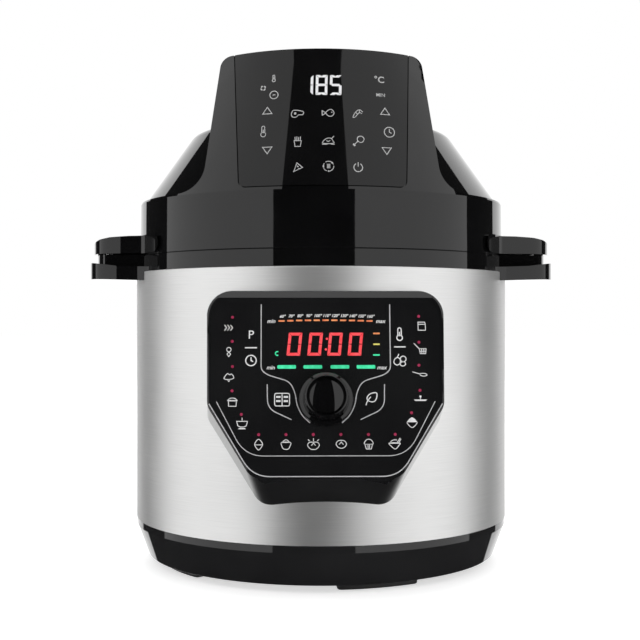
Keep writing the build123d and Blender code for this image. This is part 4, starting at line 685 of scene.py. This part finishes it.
FAN = [blade(turn) for turn in (0.6, 2.17, 3.74, 5.31)]
UP = [("loop", [(-0.9, -0.6), (0.9, -0.6), (0, 0.75)])]
DOWN = [("loop", [(-0.9, 0.6), (0.9, 0.6), (0, -0.75)])]
STEAK = [
    (
        "blob",
        [
            (-0.95, 0.0), (-0.7, 0.55), (-0.1, 0.6), (0.45, 0.5), (0.95, 0.3), (0.85, -0.15),
            (0.2, -0.2), (-0.2, -0.55), (-0.8, -0.5),
        ],
    ),
    ("dot", (-0.35, 0.05, 0.2)),
]
FISH = [
    ("blob", [(-0.3, 0.0), (0.15, 0.5), (0.65, 0.55), (0.98, 0.0), (0.65, -0.5), (0.15, -0.5)]),
    ("line", [(-0.3, 0.02), (-0.9, 0.42)]),
    ("line", [(-0.3, -0.02), (-0.9, -0.42)]),
    ("line", [(-0.86, 0.4), (-0.86, -0.4)]),
    ("dot", (0.62, 0.12, 0.1)),
]
SHRIMP = [
    ("curve", [(0.95, 0.35), (0.45, 0.72), (-0.1, 0.45), (-0.5, -0.1), (-0.75, -0.7)]),
    ("curve", [(0.8, 0.05), (0.4, 0.2), (0.05, -0.1), (-0.35, -0.6), (-0.75, -0.7)]),
    ("line", [(0.35, 0.7), (0.4, 0.2)]),
    ("line", [(-0.25, 0.3), (0.05, -0.1)]),
]
FRIES = [
    ("loop", [(-0.65, 0.15), (0.65, 0.15), (0.5, -0.95), (-0.5, -0.95)]),
    ("line", [(-0.45, 0.2), (-0.5, 0.9)]),
    ("line", [(-0.15, 0.2), (-0.15, 0.95)]),
    ("line", [(0.15, 0.2), (0.18, 0.85)]),
    ("line", [(0.45, 0.2), (0.52, 0.95)]),
]
ROAST = [
    ("blob", [(-0.85, -0.45), (-0.6, 0.1), (-0.1, 0.4), (0.45, 0.35), (0.75, -0.1), (0.8, -0.45)]),
    ("line", [(-1.0, -0.62), (1.0, -0.62)]),
    ("line", [(0.5, 0.3), (0.9, 0.75)]),
    ("curve", [(-0.3, 0.0), (0.0, -0.15), (0.3, 0.05)]),
]
DRUMSTICK = [
    ("blob", [(0.1, 0.75), (0.7, 0.75), (0.95, 0.25), (0.6, -0.2), (0.1, -0.15), (-0.15, 0.3)]),
    ("line", [(0.0, 0.0), (-0.6, -0.6)]),
    ("dot", (-0.72, -0.6, 0.15)),
    ("dot", (-0.58, -0.76, 0.15)),
]
PIZZA = [
    ("loop", [(-0.2, 0.85), (0.85, -0.05), (-0.8, -0.85)]),
    ("dot", (-0.05, 0.15, 0.16)),
    ("dot", (0.15, -0.28, 0.12)),
]
CYCLE = [
    ("arc", (0, 0, 0.85, 20, 125)),
    ("arc", (0, 0, 0.85, 145, 250)),
    ("arc", (0, 0, 0.85, 270, 365)),
    ("dot", (0.6, 0.6, 0.14)),
    ("dot", (-0.85, 0.0, 0.14)),
    ("dot", (0.0, -0.85, 0.14)),
    ("line", [(-0.2, 0.4), (-0.2, -0.35)]),
    ("line", [(0.0, 0.4), (0.0, -0.35)]),
    ("line", [(0.2, 0.4), (0.2, -0.35)]),
]
POWER = [("arc", (0, -0.05, 0.8, 120, 420)), ("line", [(0, 0.95), (0, 0.1)])]
CIRCLE_TIMER = [("ring", (0, 0, 0.9)), ("line", [(-0.3, 0), (0.3, 0)])]

# ---------------------------------------------------------------- print on the control module

DISPLAY_HALF, DISPLAY_TOP = 41.0, -8.8
SCALE_MARKS = 11
SCALE_PITCH = 5.6
SCALE_BOW = 0.02
SCALE_FIRST, SCALE_STEP = 60, 10
LEFT_LINE = [
    (-DISPLAY_HALF, DISPLAY_TOP),
    (-40.8, -51.0),
    (-37.0, -54.2),
    (-22.6, -58.6),
    (-19.2, -66.0),
    (-18.4, -73.0),
    (-15.0, -80.2),
    (-10.0, -84.6),
]
BRACKET = [(-36.9, -60.3), (-36.6, -75.6), (-21.6, -82.6)]
INNER_RIM = [(-68.6, -71.2), (-50.5, -105.2), (50.5, -105.2), (68.6, -71.2)]
# painted highlight: the outer rim is the glint along the face's lower edge, drawn as a silver line
OUTER_RIM_HIGHLIGHT = [(-73.2, -72.6), (-45.6, -117.9), (45.6, -117.9), (73.2, -72.6)]


def mirrored(points):
    """The same points on the other side of the middle."""
    return [(-x, y) for x, y in points]


def sag(index):
    """How far a mark of the bowed scale hangs below its middle one."""
    return SCALE_BOW * (index - SCALE_MARKS // 2) ** 2


lines = Print(on_face)
for line, radius, width in ((LEFT_LINE, 4.0, 0.62), (BRACKET, 6.0, 0.6)):
    for points in (line, mirrored(line)):
        lines.stroke(rounded(points, radius), width)
lines.stroke(rounded(INNER_RIM, 12.0, 14), 0.5)
# painted highlight along the face's lower edge; the other lines are print
lines.stroke(rounded(OUTER_RIM_HIGHLIGHT, 11.0, 14), 0.62)
lines.finish("module_trim_lines_and_edge_highlight", "housing", print_silver, "zinc_steel")

marks = Print(on_face)
marks.text("P", -47.3, -28.7, 7.6)
marks.stroke([(-51.1, -36.9), (-43.5, -36.9)], 0.75)
marks.icon(CLOCK, -47.2, -45.1, 7.0, 0.7)
marks.icon(THERMOMETER, 47.0, -28.2, 8.4, 0.7)
marks.stroke([(43.3, -36.4), (50.7, -36.4)], 0.75)
marks.icon(FRUIT, 47.2, -44.8, 8.6, 0.6)
marks.icon(MENU, -27.5, -70.0, 9.4, 0.6)
marks.icon(LEAF, 28.6, -69.7, 8.2, 0.65)
for icon, u, v, size in (
    (CHEVRONS, -61.3, -24.0, 5.8),
    (SKEWER, -61.2, -39.6, 6.6),
    (STEAM, -61.0, -55.6, 6.8),
    (LIDDED_POT, -58.6, -71.4, 6.8),
    (STAND_POT, -52.4, -84.9, 7.4),
    (RICE_BAG, -42.0, -98.2, 7.2),
    (JAR, -25.0, -98.0, 6.8),
    (TOMATO, -7.9, -97.8, 7.6),
    (DUMPLING, 9.4, -98.1, 6.8),
    (CUPCAKE, 26.5, -98.1, 6.8),
    (NOODLES, 43.0, -97.7, 7.4),
    (RICE_BOWL, 53.8, -84.3, 7.0),
    (DISH, 59.4, -69.6, 8.4),
    (PAN, 59.2, -53.9, 9.0),
    (FRY_BASKET, 59.9, -37.6, 8.4),
    (TOASTER, 61.2, -23.0, 6.2),
):
    marks.icon(icon, u, v, size, 0.45)
for index in range(SCALE_MARKS):
    degrees = f"{SCALE_FIRST + SCALE_STEP * index}°"
    marks.text(degrees, -27.5 + SCALE_PITCH * index, -16.2 - sag(index), 2.6, 0.3, 0.07)
for words, u, v in (("min", -34.6, -19.8), ("max", 34.9, -19.8), ("min", -34.8, -49.7), ("max", 35.3, -49.7)):
    marks.text(words, u, v, 3.5, 0.25, 0.06)
marks.finish("module_icons", "housing", print_white, "panel_black")


def digit(layer, code, x, y, width, height, bar, slant):
    """Seven-segment figure with its lower left corner at x, y; code names the lit segments."""
    w, h, b, gap = width, height, bar, bar * 0.08
    middle = h / 2
    nick = gap + b * 0.12
    end, point, half = b * 0.9, b * 0.5, b / 2
    ends = {
        "a": [(gap, h), (w - gap, h), (w - b - gap, h - b), (b + gap, h - b)],
        "d": [(gap, 0), (w - gap, 0), (w - b - gap, b), (b + gap, b)],
        "f": [(0, h - gap), (b, h - b - gap), (b, middle + nick), (0, middle + gap)],
        "e": [(0, gap), (b, b + gap), (b, middle - nick), (0, middle - gap)],
        "b": [(w, h - gap), (w - b, h - b - gap), (w - b, middle + nick), (w, middle + gap)],
        "c": [(w, gap), (w - b, b + gap), (w - b, middle - nick), (w, middle - gap)],
        "g": [
            (end, middle + half),
            (w - end, middle + half),
            (w - point, middle),
            (w - end, middle - half),
            (end, middle - half),
            (point, middle),
        ],
    }
    for segment in code:
        outline = [(x + px + slant * py, y + py) for px, py in ends[segment]]
        layer.fill(outline)


def soft_bar(layer, u, v, width, height):
    """Lit bar with slightly rounded ends."""
    w, h, r = width / 2, height / 2, height * 0.3
    layer.fill(
        arc(u + w - r, v + h - r, r, 0, 90, 4)
        + arc(u - w + r, v + h - r, r, 90, 180, 4)
        + arc(u - w + r, v - h + r, r, 180, 270, 4)
        + arc(u + w - r, v - h + r, r, 270, 360, 4)
    )


TIMER_FOOT = -42.0
TIMER_SLANT = 0.10
ZERO = "abcdef"
figures = Print(on_face)
for u in (-24.8, -11.7, 0.9, 13.8):
    digit(figures, ZERO, u, TIMER_FOOT, 8.6, 14.8, 1.85, TIMER_SLANT)
for v in (-31.2, -38.0):
    figures.fill(arc(-0.3 + TIMER_SLANT * (v - TIMER_FOOT), v, 0.75, 0, 360, 12)[:-1])
figures.finish("module_timer_figures", "housing", lamp_red, "display_black")

dashes = Print(on_face)
for index in range(SCALE_MARKS):
    soft_bar(dashes, -28.0 + SCALE_PITCH * index, -19.1 - sag(index), 4.0, 1.05)
soft_bar(dashes, 32.3, -27.7, 4.2, 1.0)
dashes.finish("module_orange_dashes", "housing", lamp_orange, "display_black")
dashes = Print(on_face)
soft_bar(dashes, 32.2, -34.7, 4.2, 1.0)
dashes.finish("module_yellow_dash", "housing", lamp_yellow, "display_black")
dashes = Print(on_face)
soft_bar(dashes, 32.1, -41.6, 4.2, 1.0)
for u in (-24.7, -8.2, 8.9, 25.4):
    soft_bar(dashes, u, -49.2, 11.8, 2.3)
dashes.stroke(arc(-30.6, -40.6, 1.2, 60, 300, 10), 0.7)
dashes.finish("module_green_bars", "housing", lamp_green, "display_black")

dots = Print(on_face)
for u, v in (
    (-59.2, -17.2),
    (-59.2, -32.8),
    (-58.8, -49.0),
    (-58.9, -64.4),
    (-52.9, -79.3),
    (-42.0, -91.9),
    (-25.0, -91.9),
    (-8.0, -91.9),
    (9.2, -91.9),
    (26.4, -91.9),
    (43.1, -91.9),
    (53.6, -78.4),
    (59.2, -64.2),
    (58.9, -48.2),
    (59.2, -33.4),
    (59.4, -16.6),
):
    dots.fill(arc(u, v, 0.95, 0, 360, 16)[:-1])
dots.finish("module_programme_dots", "housing", lamp_crimson, "display_black")

# ---------------------------------------------------------------- print on the lid's touch panel

signs = Print(on_visor)
for icon, u, z, size, width in (
    (THERMOMETER, -34.0, 343.1, 5.0, 0.5),
    (FAN, -41.2, 336.5, 5.0, 0.5),
    (CIRCLE_TIMER, -33.8, 331.0, 6.2, 0.6),
    (UP, -38.2, 319.6, 7.0, 0.55),
    (THERMOMETER, -40.8, 305.0, 7.8, 0.5),
    (DOWN, -38.0, 291.7, 7.0, 0.55),
    (UP, 41.0, 319.6, 7.0, 0.55),
    (CLOCK, 43.6, 305.0, 7.4, 0.6),
    (DOWN, 41.4, 291.7, 7.0, 0.55),
    (STEAK, -18.0, 316.7, 8.4, 0.55),
    (FISH, 2.2, 317.1, 8.6, 0.55),
    (SHRIMP, 21.9, 317.0, 8.0, 0.5),
    (FRIES, -17.8, 297.1, 7.2, 0.5),
    (ROAST, 2.4, 297.6, 8.4, 0.5),
    (DRUMSTICK, 22.2, 297.7, 8.4, 0.55),
    (PIZZA, -17.6, 279.2, 7.0, 0.55),
    (CYCLE, 2.4, 279.8, 8.0, 0.5),
    (POWER, 21.9, 279.4, 7.2, 0.6),
):
    signs.icon(icon, u, z, size, width)
signs.text("°C", 37.6, 342.6, 6.6, 0.0, 0.1)
signs.text("MIN", 38.3, 331.4, 3.6, 0.0, 0.02)
signs.finish("lid_panel_icons", "lid", print_grey, "panel_black")

LID_DIGIT_FOOT = 330.1
figures = Print(on_visor)
for code, u, width in (("bc", -16.6, 9.0), ("abcdefg", -5.9, 7.9), ("acdfg", 3.6, 7.9)):
    digit(figures, code, u, LID_DIGIT_FOOT, width, 14.4, 1.75, 0.03)
figures.finish("lid_panel_figures", "lid", lamp_white, "display_black")

# ---------------------------------------------------------------- level marks in the pot

STAMP_DEPTH = 0.08
QUARTER_LITRE = 6.5
levels = Print(in_pot, STAMP_DEPTH)
for index, z in enumerate((100.0, 126.0, 152.0, 178.0)):
    levels.stroke([(-9.0, z), (-1.0, z)], 0.7)
    levels.text(str(index + 1), 4.0, z, 6.0)
    for step in (1, 2, 3):
        tick = z - QUARTER_LITRE * step
        levels.stroke([(-9.0, tick), (-5.5, tick)], 0.5)
levels.text("MAX", 8.0, 186.0, 5.0)
levels.finish("pot_level_marks", "pot", print_silver, "zinc_steel")

# ---------------------------------------------------------------- studio

scene = bpy.context.scene
scene.view_settings.view_transform = "Standard"


PANEL_LOW, PANEL_HIGH = -1.2, 4.2  # metres, of the upright panels of light
TOP_BOX_W, TOP_BOX_D, TOP_BOX_Z = 2.6, 3.4, 3.0
TOP_RADIANCE = 1.3
BACKDROP = 1.0  # what the camera sees behind everything
ROOM_LIGHT = 0.03  # what everything else receives from the room
FLOOR_R = 12.0
SHADE_REACH, CLEAR_REACH = 0.125, 0.42  # painted shade: the floor's own glow is dimmer under the base and rises outward to full white
SHADE_GLOW, CLEAR_GLOW = 0.62, 1.0


def aimed(thing, target):
    """Turn a lamp or a camera towards a point."""
    thing.rotation_euler = (Vector(target) - thing.location).to_track_quat("-Z", "Y").to_euler()


def panel_light(name, width, height, radiance, location):
    """Even rectangle of light that the camera doesn't see."""
    data = bpy.data.lights.new(name, "AREA")
    data.shape = "RECTANGLE"
    data.size, data.size_y = width, height
    data.energy = radiance * math.pi * width * height
    light = bpy.data.objects.new(name, data)
    light.location = location
    light.visible_camera = False
    scene.collection.objects.link(light)
    return light


def softbox(name, azimuth, distance, half_angle, radiance):
    """Upright panel of light facing the object, seen from it between two azimuths."""
    width = 2 * distance * math.tan(math.radians(half_angle))
    turn = math.radians(azimuth)
    middle = (PANEL_HIGH + PANEL_LOW) / 2
    place = (distance * math.sin(turn), -distance * math.cos(turn), middle)
    aimed(panel_light(name, width, PANEL_HIGH - PANEL_LOW, radiance, place), (0, 0, middle))


softbox("softbox_right", 58.25, 2.4, 39.65, 1.12)
softbox("softbox_left", -68.95, 2.4, 39.85, 1.12)
softbox("back_screen", 175.35, 2.5, 43.15, 1.3)
panel_light("top_box", TOP_BOX_W, TOP_BOX_D, TOP_RADIANCE, (0.0, 0.0, TOP_BOX_Z))

world = bpy.data.worlds.new("studio")
scene.world = world
world.use_nodes = True
tree = world.node_tree
tree.nodes.clear()
seen = tree.nodes.new("ShaderNodeBackground")
seen.inputs["Color"].default_value = (1, 1, 1, 1)
seen.inputs["Strength"].default_value = BACKDROP
unseen = tree.nodes.new("ShaderNodeBackground")
unseen.inputs["Color"].default_value = (1, 1, 1, 1)
unseen.inputs["Strength"].default_value = ROOM_LIGHT
path = tree.nodes.new("ShaderNodeLightPath")
blend = tree.nodes.new("ShaderNodeMixShader")
output = tree.nodes.new("ShaderNodeOutputWorld")
tree.links.new(path.outputs["Is Camera Ray"], blend.inputs["Fac"])
tree.links.new(unseen.outputs["Background"], blend.inputs[1])
tree.links.new(seen.outputs["Background"], blend.inputs[2])
tree.links.new(blend.outputs["Shader"], output.inputs["Surface"])

floor_mesh = bpy.data.meshes.new("floor")
shape = bmesh.new()
bmesh.ops.create_circle(shape, cap_ends=True, segments=96, radius=FLOOR_R)
shape.to_mesh(floor_mesh)
shape.free()
floor = bpy.data.objects.new("floor", floor_mesh)
scene.collection.objects.link(floor)
floor.visible_glossy = False
shader = Shader("pale_floor", Roughness=0.6)
shader.colour(shader.span(shader.noise(3.0, 2.0), 0.3, 0.7, 0.0, 1.0), (0.86, 0.86, 0.86), (0.9, 0.9, 0.9))
reach = shader.put("ShaderNodeVectorMath", (0, shader.coordinates), operation="LENGTH").outputs["Value"]
# painted shade: the floor glows less near the base than further out
glow = shader.span(reach, SHADE_REACH, CLEAR_REACH, SHADE_GLOW, CLEAR_GLOW)
shader.surface.inputs["Emission Color"].default_value = (1, 1, 1, 1)
shader.tree.links.new(glow, shader.surface.inputs["Emission Strength"])
floor_mesh.materials.append(shader.material)

# ---------------------------------------------------------------- camera

CAMERA_TURN = math.radians(-1.1)
CAMERA_DISTANCE, CAMERA_HEIGHT = 0.864, 0.179
LENS_MM, SENSOR_MM = 63.03, 36.0
camera_data = bpy.data.cameras.new("camera")
camera_data.sensor_width = SENSOR_MM
camera_data.lens = LENS_MM
camera_data.shift_x = -0.0016
camera_data.shift_y = 0.0006
camera = bpy.data.objects.new("camera", camera_data)
camera.location = (
    CAMERA_DISTANCE * math.sin(CAMERA_TURN),
    -CAMERA_DISTANCE * math.cos(CAMERA_TURN),
    CAMERA_HEIGHT,
)
aimed(camera, (0, 0, CAMERA_HEIGHT))
scene.collection.objects.link(camera)
scene.camera = camera
